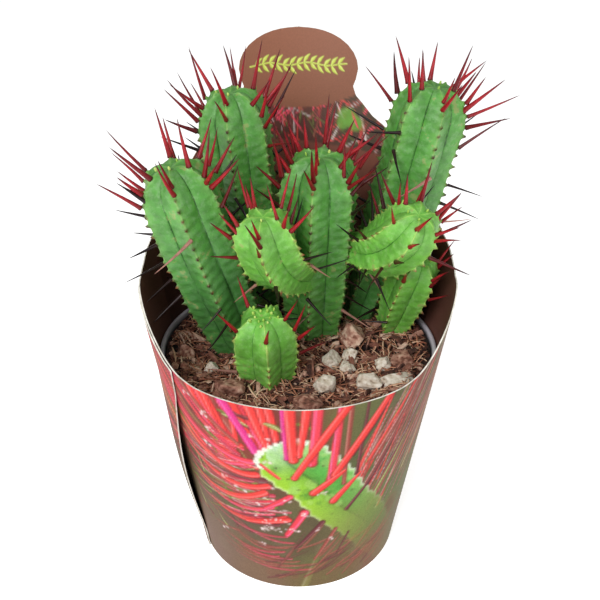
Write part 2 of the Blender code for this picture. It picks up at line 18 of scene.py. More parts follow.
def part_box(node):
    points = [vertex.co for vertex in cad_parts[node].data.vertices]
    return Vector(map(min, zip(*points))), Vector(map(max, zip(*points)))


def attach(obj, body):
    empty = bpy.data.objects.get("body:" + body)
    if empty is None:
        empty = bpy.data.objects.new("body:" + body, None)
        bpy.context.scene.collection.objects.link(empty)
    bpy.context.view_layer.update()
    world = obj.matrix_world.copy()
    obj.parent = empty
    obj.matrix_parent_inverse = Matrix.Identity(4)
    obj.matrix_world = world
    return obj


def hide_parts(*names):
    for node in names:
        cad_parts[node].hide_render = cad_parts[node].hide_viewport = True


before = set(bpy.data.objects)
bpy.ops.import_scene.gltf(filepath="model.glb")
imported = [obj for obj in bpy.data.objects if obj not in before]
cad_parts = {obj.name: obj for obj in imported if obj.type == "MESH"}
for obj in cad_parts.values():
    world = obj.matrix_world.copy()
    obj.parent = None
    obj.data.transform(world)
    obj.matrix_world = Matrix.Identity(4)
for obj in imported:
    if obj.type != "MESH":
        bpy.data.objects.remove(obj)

Array = np.ndarray
Object = bpy.types.Object
Tree = bpy.types.NodeTree
Place = tuple[float, float]
Point = tuple[float, float, float]
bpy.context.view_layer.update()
MM = 0.001
TURN = 2 * math.pi
BODY = "root"
log = logging.getLogger("potted_euphorbia")
POT_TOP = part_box("nursery_pot")[1]
POT_HEIGHT = POT_TOP.z
POT_RIM_RADIUS = POT_TOP.x
CARD_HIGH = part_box("card_sleeve")[1].z


# ---------------- numbers and colours


def mix(low: Array | float, high: Array | float, share: Array | float) -> Array | float:
    """The value that share of the way from low to high."""
    return low + (high - low) * share


def ease(share: Array | float) -> Array:
    """A smooth step from 0 to 1, flat at both ends."""
    share = np.clip(share, 0.0, 1.0)
    return share * share * (3 - 2 * share)


def bell(distance: Array | float, width: Array | float) -> Array:
    """A bell curve: 1 at no distance, and about a third at one width."""
    return np.exp(-((distance / width) ** 2))


def unit(vectors: Array) -> Array:
    """The same directions, each one long."""
    return vectors / np.maximum(np.linalg.norm(vectors, axis=-1, keepdims=True), 1e-12)


def linear_colour(code: str) -> tuple[float, float, float, float]:
    """An sRGB colour in the shaders' own linear light.

    Args:
        code: Its hex code.

    Returns:
        Linear red, green, blue and alpha.
    """
    channels = (int(code[i : i + 2], 16) / 255 for i in (1, 3, 5))
    red, green, blue = (c / 12.92 if c <= 0.04045 else ((c + 0.055) / 1.055) ** 2.4 for c in channels)
    return red, green, blue, 1.0


def rgb(code: str) -> Array:
    """A hex colour as linear red, green and blue."""
    return np.array(linear_colour(code)[:3])


def rough_field(points: Array, size: float, seed: int) -> Array:
    """Smooth noise from -1 to 1 at each point."""
    shift = Vector((seed * 3.17, seed * 7.31, seed * 1.93))
    return np.array([noise.noise(Vector(point) / size + shift) for point in points])


# ---------------- mesh helpers


def deselect() -> None:
    """Leaves nothing selected, so that an operator acts only on what comes next."""
    bpy.ops.object.select_all(action="DESELECT")


def select_only(obj: Object) -> None:
    """Makes one object the selected and the active one.

    Args:
        obj: That object.
    """
    deselect()
    obj.select_set(True)
    bpy.context.view_layer.objects.active = obj


def take_primitive(name: str) -> Object:
    """Names the primitive that was just added.

    Args:
        name: Its own name, and its mesh's.

    Returns:
        The primitive.
    """
    obj = bpy.context.active_object
    obj.name = obj.data.name = name
    return obj


def add_pebble(name: str, subdivisions: int) -> Object:
    """Adds an icosphere of radius 1 at the origin.

    Args:
        name: The new object's name.
        subdivisions: How finely it is cut: 1 gives 20 faces, 2 gives 80, 5 gives 5120.

    Returns:
        The new object.
    """
    deselect()
    bpy.ops.mesh.primitive_ico_sphere_add(subdivisions=subdivisions, radius=1.0, location=(0, 0, 0))
    return take_primitive(name)


def points_of(obj: Object) -> Array:
    """Reads a mesh's vertices.

    Args:
        obj: The mesh object.

    Returns:
        Their places, one row each.
    """
    points = np.empty(len(obj.data.vertices) * 3)
    obj.data.vertices.foreach_get("co", points)
    return points.reshape(-1, 3)


def place_points(obj: Object, points: Array) -> None:
    """Moves the vertices of a mesh object to these places."""
    obj.data.vertices.foreach_set("co", np.ascontiguousarray(points, dtype=float).ravel())
    obj.data.update()


def give_number(obj: Object, name: str, values: Array) -> None:
    """Stores one number on each vertex, for a material to read."""
    attribute = obj.data.attributes.new(name, "FLOAT", "POINT")
    attribute.data.foreach_set("value", np.broadcast_to(values, len(obj.data.vertices)).astype(np.float32))


def give_colour(obj: Object, name: str, colours: Array) -> None:
    """Stores one linear colour on each vertex, for a material to read.

    Args:
        obj: The mesh object.
        name: The layer's name, as the material knows it.
        colours: Red, green and blue, one row for each vertex.
    """
    attribute = obj.data.attributes.new(name, "FLOAT_COLOR", "POINT")
    rows = np.ones((len(obj.data.vertices), 4), np.float32)
    rows[:, :3] = colours
    attribute.data.foreach_set("color", rows.ravel())


def add_sheet(name: str, columns: int, rows: int) -> tuple[Object, Array, Array]:
    """A flat grid, ready to be wrapped into a shape.

    Args:
        name: The new object's name.
        columns: Faces across the grid.
        rows: Faces up the grid.

    Returns:
        The object, and how far across and how far up each vertex lies, from 0 to 1.
    """
    deselect()
    bpy.ops.mesh.primitive_grid_add(x_subdivisions=columns, y_subdivisions=rows, size=1.0)
    obj = take_primitive(name)
    flat = points_of(obj) + 0.5
    return obj, flat[:, 0], flat[:, 1]


def close_up(obj: Object, smooth_below: float) -> None:
    """Merges the seam and poles of a wrapped sheet, turns its faces outwards and smooths it.

    Args:
        obj: The wrapped sheet.
        smooth_below: Edges flatter than this many degrees are shaded smooth.
    """
    select_only(obj)
    bpy.ops.object.mode_set(mode="EDIT")
    bpy.ops.mesh.select_all(action="SELECT")
    bpy.ops.mesh.remove_doubles(threshold=0.002 * MM)
    bpy.ops.mesh.normals_make_consistent(inside=False)
    bpy.ops.object.mode_set(mode="OBJECT")
    bpy.ops.object.shade_smooth_by_angle(angle=math.radians(smooth_below))


def apply_modifiers(obj: Object) -> None:
    """Applies every modifier of an object, first to last.

    Args:
        obj: That object.
    """
    select_only(obj)
    for modifier in list(obj.modifiers):
        bpy.ops.object.modifier_apply(modifier=modifier.name)


def remove_helper(obj: Object) -> None:
    """Takes away an object that only helped to make others."""
    bpy.data.objects.remove(obj, do_unlink=True)


def finish_piece(obj: Object, material: bpy.types.Material, slot: str, *nodes: str) -> None:
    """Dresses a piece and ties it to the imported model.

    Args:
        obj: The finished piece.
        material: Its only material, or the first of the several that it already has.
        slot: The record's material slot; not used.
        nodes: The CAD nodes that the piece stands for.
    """
    if not obj.data.materials:
        obj.data.materials.append(material)
    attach(obj, BODY)
    if nodes:
        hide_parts(*nodes)
    log.info("%s: %d faces", obj.name, len(obj.data.polygons))


# ---------------- many small copies of one shape


@dataclass
class Copies:
    """Copies of one small shape, gathered in one mesh.

    The shape is modelled once, standing on the origin and one unit tall. Each copy is bent along
    its own curve from start over bend to end, and is width wide.
    """

    shape: Object
    starts: Array
    bends: Array
    ends: Array
    widths: Array

    def gather(self, name: str) -> tuple[Object, Array, Array]:
        """Builds the mesh, and removes the helper shape.

        Args:
            name: The new object's name.

        Returns:
            The object, how far along its copy each vertex lies, and which copy it is on.
        """
        shape = points_of(self.shape)
        along = shape[None, :, 2:3]
        start, bend, end = (p[:, None, :] for p in (self.starts, self.bends, self.ends))
        middle = start * (1 - along) ** 2 + bend * 2 * along * (1 - along) + end * along**2
        heading = unit((bend - start) * (1 - along) + (end - bend) * along)
        aside = unit(np.cross(heading, unit(self.reference())[:, None, :]))
        across = np.cross(heading, aside)
        width = self.widths[:, None, None]
        points = middle + (aside * shape[None, :, 0:1] + across * shape[None, :, 1:2]) * width
        faces = [tuple(polygon.vertices) for polygon in self.shape.data.polygons]
        count = len(shape)
        every = [tuple(v + copy * count for v in face) for copy in range(len(points)) for face in faces]
        mesh = bpy.data.meshes.new(name)
        mesh.from_pydata(points.reshape(-1, 3).tolist(), [], every)
        obj = bpy.data.objects.new(name, mesh)
        bpy.context.scene.collection.objects.link(obj)
        mesh.shade_smooth()
        remove_helper(self.shape)
        return obj, np.tile(shape[:, 2], len(points)), np.repeat(np.arange(len(points)), count)

    def reference(self) -> Array:
        """Finds a direction for each copy that its curve never runs along.

        Returns:
            One direction for each copy: +X for the upright ones and +Z for the rest.
        """
        chord = unit(self.ends - self.starts)
        upright = np.abs(chord[:, 2:3]) > 0.8
        return np.where(upright, np.array([[1.0, 0.0, 0.0]]), np.array([[0.0, 0.0, 1.0]]))


def thread_shape(
    name: str, sides: int, cuts: tuple[float, ...], profile: Callable[[Array], Array]
) -> Object:
    """A thin pointed body, one unit tall, for Copies.

    Args:
        name: The helper's name.
        sides: Faces round it.
        cuts: Heights at which it is cut into rings.
        profile: Gives the radius, in widths, at a height from 0 to 1.

    Returns:
        The helper object. Copies takes it away again.
    """
    deselect()
    bpy.ops.mesh.primitive_cone_add(
        vertices=sides, radius1=1.0, radius2=0.0, depth=1.0, location=(0, 0, 0.5), end_fill_type="TRIFAN"
    )
    obj = take_primitive(name)
    bpy.ops.object.transform_apply(location=True)
    bpy.ops.object.mode_set(mode="EDIT")
    for cut in cuts:
        bpy.ops.mesh.select_all(action="SELECT")
        bpy.ops.mesh.bisect(plane_co=(0, 0, cut), plane_no=(0, 0, 1))
    bpy.ops.object.mode_set(mode="OBJECT")
    points = points_of(obj)
    around = points[:, :2]
    off_axis = np.linalg.norm(around, axis=1) > 1e-6
    points[off_axis, :2] = unit(around[off_axis]) * profile(points[off_axis, 2])[:, None]
    place_points(obj, points)
    return obj


# ---------------- materials


class Node(Enum):
    """The kinds of shader node that the finishes are made of."""

    ATTRIBUTE = "ShaderNodeAttribute"
    BUMP = "ShaderNodeBump"
    COORDINATES = "ShaderNodeTexCoord"
    MATHS = "ShaderNodeMath"
    MIX = "ShaderNodeMix"
    NOISE = "ShaderNodeTexNoise"
    RAMP = "ShaderNodeValToRGB"
    REMAP = "ShaderNodeMapRange"
    SPLIT = "ShaderNodeSeparateXYZ"
    TONE = "ShaderNodeHueSaturation"


FIRST, SECOND, MIXED = 6, 7, 2  # a Mix node's two colour inputs and its colour output
Stops = tuple[tuple[float, str], ...]
Socket = bpy.types.NodeSocket
Sockets = dict[str, Socket]


def add_node(
    tree: Tree,
    kind: Node,
    output: str | int,
    inputs: dict[str | int, object] | None = None,
    stops: Stops = (),
    **settings: str,
) -> Socket:
    """Adds a shader node.

    Args:
        tree: The material's node tree.
        kind: The node's kind.
        output: Which of its outputs the finish uses, by name or number.
        inputs: For each socket by name or number, a value, or another node's output to link.
        stops: For a colour ramp, its places and hex colours.
        settings: The node's own properties.

    Returns:
        That output.
    """
    node = tree.nodes.new(kind.value)
    for key, value in settings.items():
        setattr(node, key, value)
    for key, value in (inputs or {}).items():
        if isinstance(value, Socket):
            tree.links.new(value, node.inputs[key])
        else:
            node.inputs[key].default_value = value
    for index, (place, colour) in enumerate(stops):
        ramp = node.color_ramp.elements
        stop = ramp[index] if index < 2 else ramp.new(place)
        stop.position = place
        stop.color = linear_colour(colour)
    return node.outputs[output]


def per_mm(width: float) -> float:
    """A noise node's scale, for lumps this many millimetres wide."""
    return 1 / (width * MM)


@dataclass(frozen=True)
class Finish:
    """A material on a Principled shader. Each kind of finish adds its own colour and relief."""

    name: str
    roughness: float = 0.5
    ior: float = 1.5

    def build(self) -> bpy.types.Material:
        """Makes the material, unless it is there already.

        Returns:
            The material.
        """
        material = bpy.data.materials.get(self.name)
        if material:
            return material
        material = bpy.data.materials.new(self.name)
        material.use_nodes = True
        tree = material.node_tree
        shader = tree.nodes["Principled BSDF"]
        shader.inputs["Roughness"].default_value = self.roughness
        shader.inputs["IOR"].default_value = self.ior
        for socket, output in self.dress(tree, add_node(tree, Node.COORDINATES, "Object")).items():
            tree.links.new(output, shader.inputs[socket])
        return material

    def dress(self, tree: Tree, place: Socket) -> Sockets:
        """Adds the finish's own nodes."""
        raise NotImplementedError


@dataclass(frozen=True)
class PrintedBoard(Finish):
    """Offset-printed carton with a satin dispersion varnish: ink colours under a soft even shine."""

    layer: str = "print"
    grain_mm: float = 0.5
    contrast: float = 0.12
    gain: float = 1.0

    def dress(self, tree: Tree, place: Socket) -> Sockets:
        """Ink from the vertex colours, broken up by a fine print grain.

        Args:
            tree: The material's node tree.
            place: Each point's place in metres.

        Returns:
            Outputs for the shader's colour and normal.
        """
        ink = add_node(tree, Node.ATTRIBUTE, "Color", attribute_name=self.layer)
        grain = add_node(
            tree, Node.NOISE, "Fac", {"Vector": place, "Scale": per_mm(self.grain_mm), "Detail": 2.0}
        )
        low, high = self.gain * (1 - self.contrast), self.gain * (1 + self.contrast)
        dots = add_node(
            tree, Node.REMAP, "Result",
            {"Value": grain, "From Min": 0.3, "From Max": 0.7, "To Min": low, "To Max": high},
        )
        inked = add_node(
            tree, Node.MIX, MIXED, {"Factor": 1.0, FIRST: ink, SECOND: dots},
            data_type="RGBA", blend_type="MULTIPLY",
        )
        relief = add_node(
            tree, Node.BUMP, "Normal", {"Height": grain, "Strength": 0.04, "Distance": 0.05 * MM}
        )
        return {"Base Color": inked, "Normal": relief}


@dataclass(frozen=True)
class CutBoard(Finish):
    """The cut edge of the carton: bare white fibres with a little dirt."""

    dirt_mm: float = 2.5

    def dress(self, tree: Tree, place: Socket) -> Sockets:
        """White with faint grey patches.

        Args:
            tree: The material's node tree.
            place: Each point's place in metres.

        Returns:
            The output for the shader's colour.
        """
        dirt = add_node(
            tree, Node.NOISE, "Fac", {"Vector": place, "Scale": per_mm(self.dirt_mm), "Detail": 3.0}
        )
        return {
            "Base Color": add_node(
                tree, Node.RAMP, "Color", {"Fac": dirt}, ((0.3, "#B9B3A6"), (0.6, "#E6E1D8"))
            )
        }


@dataclass(frozen=True)
class SucculentSkin(Finish):
    """Waxy skin of a ribbed euphorbia: mottled green faces, pale rib edges, and painted shade in the valleys
    and at the foot.

    The wax gives a broad soft shine that breaks up in patches. Tan scars and dark corky teeth are dull.
    """

    # Painted shade: the dark green along the crease of each valley.
    valley: str = "#33602B"
    face: str = "#4E8C3A"
    shoulder: str = "#609C46"
    edge: str = "#78A653"
    bloom: str = "#80A874"  # the grey-green wax bloom in patches
    # Painted shade: the darker green that the skin takes on towards the foot.
    foot: str = "#366634"
    cork: str = "#3C2018"
    patch_mm: float = 1.7
    cloud_mm: float = 4.5
    pore_mm: float = 0.5
    foot_mm: float = 62.0  # below the tip, where the painted shade at the foot is darkest

    def dress(self, tree: Tree, place: Socket) -> Sockets:
        """Colours from the vertex values crest, tooth and down, with painted shade in the valleys and towards
        the foot; patches, clouds and pores from noise.

        Args:
            tree: The material's node tree.
            place: Each point's place in metres.

        Returns:
            Outputs for the shader's colour, normal and roughness.
        """
        crest, tooth, down = (
            add_node(tree, Node.ATTRIBUTE, "Fac", attribute_name=name) for name in ("crest", "tooth", "down")
        )
        wander = add_node(tree, Node.NOISE, "Fac", {"Vector": place, "Scale": per_mm(1.1), "Detail": 3.0})
        wavering = add_node(
            tree, Node.MATHS, "Value", {0: wander, 1: 0.08, 2: crest}, operation="MULTIPLY_ADD"
        )
        # The dark valley stop is painted shade along each crease.
        across = add_node(
            tree, Node.RAMP, "Color", {"Fac": wavering},
            (
                (0.05, self.valley), (0.085, self.face), (0.6, self.face),
                (0.9, self.shoulder), (0.98, self.shoulder), (1.02, self.edge),
            ),
        )
        patches = add_node(
            tree, Node.NOISE, "Fac",
            {"Vector": place, "Scale": per_mm(self.patch_mm), "Detail": 5.0, "Roughness": 0.7},
        )
        spread = add_node(
            tree, Node.REMAP, "Result", {"Value": patches, "From Min": 0.48, "From Max": 0.72, "To Max": 0.6}
        )
        bloomed = add_node(
            tree, Node.MIX, MIXED, {"Factor": spread, FIRST: across, SECOND: linear_colour(self.bloom)},
            data_type="RGBA",
        )
        # Painted shade: the skin darkens towards the foot, by its depth below the tip.
        low = add_node(
            tree, Node.REMAP, "Result",
            {"Value": down, "From Min": 0.3 * self.foot_mm, "From Max": self.foot_mm, "To Max": 0.6},
        )
        darkened = add_node(
            tree, Node.MIX, MIXED, {"Factor": low, FIRST: bloomed, SECOND: linear_colour(self.foot)},
            data_type="RGBA",
        )
        corky = add_node(tree, Node.RAMP, "Color", {"Fac": patches}, ((0.5, self.cork), (0.66, "#94502A")))
        worn = add_node(
            tree, Node.MIX, MIXED, {"Factor": tooth, FIRST: darkened, SECOND: corky}, data_type="RGBA"
        )
        clouds = add_node(
            tree, Node.NOISE, "Fac",
            {"Vector": place, "Scale": per_mm(self.cloud_mm), "Detail": 5.0, "Roughness": 0.6},
        )
        scars = add_node(
            tree, Node.REMAP, "Result", {"Value": clouds, "From Min": 0.62, "From Max": 0.65, "To Max": 0.5}
        )
        scarred = add_node(
            tree, Node.MIX, MIXED, {"Factor": scars, FIRST: worn, SECOND: linear_colour("#8E8A58")},
            data_type="RGBA",
        )
        tone = add_node(
            tree, Node.REMAP, "Result",
            {"Value": clouds, "From Min": 0.34, "From Max": 0.64, "To Min": 0.74, "To Max": 1.16},
        )
        pores = add_node(
            tree, Node.NOISE, "Fac", {"Vector": place, "Scale": per_mm(self.pore_mm), "Detail": 3.0}
        )
        return {
            "Base Color": add_node(tree, Node.TONE, "Color", {"Color": scarred, "Value": tone}),
            "Normal": add_node(
                tree, Node.BUMP, "Normal", {"Height": pores, "Strength": 0.3, "Distance": 0.25 * MM}
            ),
            "Roughness": add_node(
                tree, Node.REMAP, "Result",
                {"Value": patches, "From Min": 0.35, "From Max": 0.7, "To Min": 0.3, "To Max": 0.6},
            ),
        }


@dataclass(frozen=True)
class SpineHorn(Finish):
    """Horny spines: crimson when new, nearly black when old, paler where they have dried."""

    streak_mm: float = 0.9

    def dress(self, tree: Tree, place: Socket) -> Sockets:
        """New and old colours along the spine, mixed by its age; beyond an age of 1 it is dry.

        Args:
            tree: The material's node tree.
            place: Each point's place in metres.

        Returns:
            Outputs for the shader's colour and normal.
        """
        along, age = (add_node(tree, Node.ATTRIBUTE, "Fac", attribute_name=name) for name in ("along", "age"))
        new = add_node(
            tree, Node.RAMP, "Color", {"Fac": along},
            ((0.0, "#4A1612"), (0.06, "#7E141B"), (0.45, "#9C1A24"), (0.75, "#70121A"), (1.0, "#300A10")),
        )
        old = add_node(
            tree, Node.RAMP, "Color", {"Fac": along},
            ((0.0, "#24120E"), (0.12, "#1E0A0D"), (0.55, "#16080B"), (1.0, "#0C0506")),
        )
        darkened = add_node(tree, Node.MIX, MIXED, {"Factor": age, FIRST: new, SECOND: old}, data_type="RGBA")
        dryness = add_node(tree, Node.MATHS, "Value", {0: age, 1: 1.0}, operation="SUBTRACT")
        dried = add_node(
            tree, Node.MIX, MIXED, {"Factor": dryness, FIRST: darkened, SECOND: linear_colour("#A8786A")},
            data_type="RGBA",
        )
        streaks = add_node(
            tree, Node.NOISE, "Fac", {"Vector": place, "Scale": per_mm(self.streak_mm), "Detail": 2.0}
        )
        tone = add_node(tree, Node.MATHS, "Value", {0: streaks, 1: 0.9, 2: 0.6}, operation="MULTIPLY_ADD")
        return {
            "Base Color": add_node(tree, Node.TONE, "Color", {"Color": dried, "Value": tone}),
            "Normal": add_node(
                tree, Node.BUMP, "Normal", {"Height": streaks, "Strength": 0.15, "Distance": 0.1 * MM}
            ),
        }


@dataclass(frozen=True)
class Mottled(Finish):
    """A rough natural stuff whose pieces differ: each has its own tone, with grain and pits in it."""

    tones: Stops = ((0.0, "#000000"), (1.0, "#FFFFFF"))
    grain_mm: float = 1.0
    contrast: float = 0.5
    depth_mm: float = 0.3

    def dress(self, tree: Tree, place: Socket) -> Sockets:
        """The tone stored on each vertex, moved up and down a ramp by noise; the same noise as relief.

        Args:
            tree: The material's node tree.
            place: Each point's place in metres.

        Returns:
            Outputs for the shader's colour and normal.
        """
        own = add_node(tree, Node.ATTRIBUTE, "Fac", attribute_name="tone")
        grain = add_node(
            tree, Node.NOISE, "Fac",
            {"Vector": place, "Scale": per_mm(self.grain_mm), "Detail": 5.0, "Roughness": 0.65},
        )
        centred = add_node(tree, Node.MATHS, "Value", {0: grain, 1: 0.5}, operation="SUBTRACT")
        moved = add_node(
            tree, Node.MATHS, "Value", {0: centred, 1: 2 * self.contrast, 2: own}, operation="MULTIPLY_ADD"
        )
        return {
            "Base Color": add_node(tree, Node.RAMP, "Color", {"Fac": moved}, self.tones),
            "Normal": add_node(
                tree, Node.BUMP, "Normal", {"Height": grain, "Strength": 0.6, "Distance": self.depth_mm * MM}
            ),
        }


@dataclass(frozen=True)
class PotPlastic(Finish):
    """Thin polypropylene, thermoformed into a pot: dark grey satin with scuffs and a little dust."""

    dust_mm: float = 6.0
    rim_highlight_mm: float = 1.6  # below the rim's top, where a pale painted highlight runs

    def dress(self, tree: Tree, place: Socket) -> Sockets:
        """Dark grey with dusty patches and a pale painted highlight along the rim's top; scuffs make the
        shine uneven.

        Args:
            tree: The material's node tree.
            place: Each point's place in metres.

        Returns:
            Outputs for the shader's colour and roughness.
        """
        dust = add_node(
            tree, Node.NOISE, "Fac", {"Vector": place, "Scale": per_mm(self.dust_mm), "Detail": 5.0}
        )
        grey = add_node(tree, Node.RAMP, "Color", {"Fac": dust}, ((0.35, "#4A474C"), (0.7, "#857F85")))
        # Painted highlight: pale grey along the top of the rolled rim.
        start, end = POT_HEIGHT - self.rim_highlight_mm * MM, POT_HEIGHT - 0.3 * self.rim_highlight_mm * MM
        height = add_node(tree, Node.SPLIT, "Z", {"Vector": place})
        rim_highlight = add_node(
            tree, Node.REMAP, "Result", {"Value": height, "From Min": start, "From Max": end, "To Max": 0.85}
        )
        return {
            "Base Color": add_node(
                tree, Node.MIX, MIXED, {"Factor": rim_highlight, FIRST: grey, SECOND: linear_colour("#C2BCC4")},
                data_type="RGBA",
            ),
            "Roughness": add_node(tree, Node.REMAP, "Result", {"Value": dust, "To Min": 0.3, "To Max": 0.65}),
        }


@dataclass(frozen=True)
class StudioPaper(Finish):
    """Seamless white background paper, lit from behind so that it stays white far from the lamps."""

    glow: float = 0.55

    def build(self) -> bpy.types.Material:
        """Makes the material and lights it.

        Returns:
            The material.
        """
        material = super().build()
        shader = material.node_tree.nodes["Principled BSDF"]
        shader.inputs["Emission Color"].default_value = linear_colour("#FFFFFF")
        shader.inputs["Emission Strength"].default_value = self.glow
        return material

    def dress(self, tree: Tree, place: Socket) -> Sockets:
        """White with the faintest cloudiness.

        Args:
            tree: The material's node tree.
            place: Each point's place in metres.

        Returns:
            The output for the shader's colour.
        """
        cloud = add_node(tree, Node.NOISE, "Fac", {"Vector": place, "Scale": per_mm(250)})
        return {
            "Base Color": add_node(
                tree, Node.RAMP, "Color", {"Fac": cloud}, ((0.0, "#F8F8F8"), (1.0, "#FCFCFC"))
            )
        }


# Carton under varnish shines softly. Its inner face is unvarnished on the head's side, but printed too.
PRINT = PrintedBoard("printed_carton", 0.6, 1.22, gain=0.72)
INSIDE = PrintedBoard("carton_inside", 0.55, 1.46, "inside", 0.5, 0.06)
CUT = CutBoard("carton_cut_edge", 0.9, 1.4)
# Wax on the skin: satin. Young skin is yellower and a little glossier, with redder cork.
MATURE_SKIN = SucculentSkin("euphorbia_skin_mature", 0.46, 1.42)
YOUNG_SKIN = SucculentSkin(
    "euphorbia_skin_young", 0.42, 1.42, valley="#44802E", face="#64A63E", shoulder="#74B248",
    edge="#98C05A", bloom="#93C474", foot="#4E8C36", cork="#6A3820",
)
HORN = SpineHorn("euphorbia_spine_horn", 0.34, 1.36)
BUD = Mottled(
    "euphorbia_leaf_bud", 0.5, tones=((0.2, "#6E9E3A"), (0.6, "#9CBF50"), (1.0, "#CBD680")),
    grain_mm=1.2, contrast=0.4,
)
# Dry coir, peat and bark are dull all over, and their colour comes from strand to strand.
MIX = Mottled(
    "coir_and_peat_mix", 0.95,
    tones=((0.25, "#160A07"), (0.5, "#42231A"), (0.75, "#70422F"), (1.0, "#A0705A")),
    grain_mm=1.6, contrast=0.9, depth_mm=0.8,
)
FIBRE = Mottled(
    "coir_fibre", 0.8, tones=((0.0, "#4A2418"), (0.3, "#8A4E38"), (0.65, "#BC8264"), (1.0, "#E2C0A2")),
    grain_mm=1.0, contrast=0.25, depth_mm=0.1,
)
CRUMB = Mottled(
    "peat_crumb", 0.95, tones=((0.0, "#26130E"), (0.4, "#5E3427"), (0.75, "#94604E"), (1.0, "#C09C88")),
    grain_mm=0.8, contrast=0.4,
)
BARK = Mottled(
    "bark_lump", 0.92, tones=((0.05, "#341B14"), (0.4, "#7A4C3C"), (0.7, "#AE8270"), (1.0, "#D6B9A2")),
    grain_mm=1.6, contrast=0.55, depth_mm=0.6,
)
# Volcanic froth: pale, powdery and finely pitted.
PUMICE = Mottled(
    "pumice_stone", 0.92,
    tones=((0.05, "#7E6C5A"), (0.35, "#B8A896"), (0.65, "#D2C8BA"), (1.0, "#ECE6DC")),
    grain_mm=1.1, contrast=0.4, depth_mm=0.4,
)
BLACK_POT = PotPlastic("nursery_pot_plastic")
PAPER = StudioPaper("studio_paper", 0.8)


# ---------------- painting on the card


class Ink(Enum):
    """Inks of the printed picture, each as its dark rim, its body and its glow."""

    CORAL = ("#8C2426", "#F2443F", "#FA7A78")
    ROSE = ("#8A2434", "#EE4654", "#F4709A")
    CRIMSON = ("#6E2030", "#C83C50", "#E47A8C")
    MAGENTA = ("#A02C60", "#E23A88", "#F06AB0")
    BRICK = ("#66332C", "#A14E44", "#BE7A6C")
    WINE = ("#401E22", "#6E3438", "#955A5C")
    STRAW = ("#6A6438", "#A8A85E", "#DAD6A6")
    OLIVE = ("#454C2A", "#6C7638", "#8E9C50")
    GLINT = ("#D9A7A6", "#F3DDD8", "#FFFFFF")
    LEAF = ("#7C8A2E", "#C3CF52", "#DDE488")


STROKE_CUTS = 20
ACROSS_STROKE = (-1, -0.55, 0.1, 0.5, 0.8, 1.1)  # from one rim to the other, in half-widths
WHOLE = (slice(None), slice(None))


def midway(start: Place, end: Place, aside: float = 0.0, up: float = 0.0) -> Place:
    """The point between two others, moved a little aside and up."""
    return (start[0] + end[0]) / 2 + aside, (start[1] + end[1]) / 2 + up


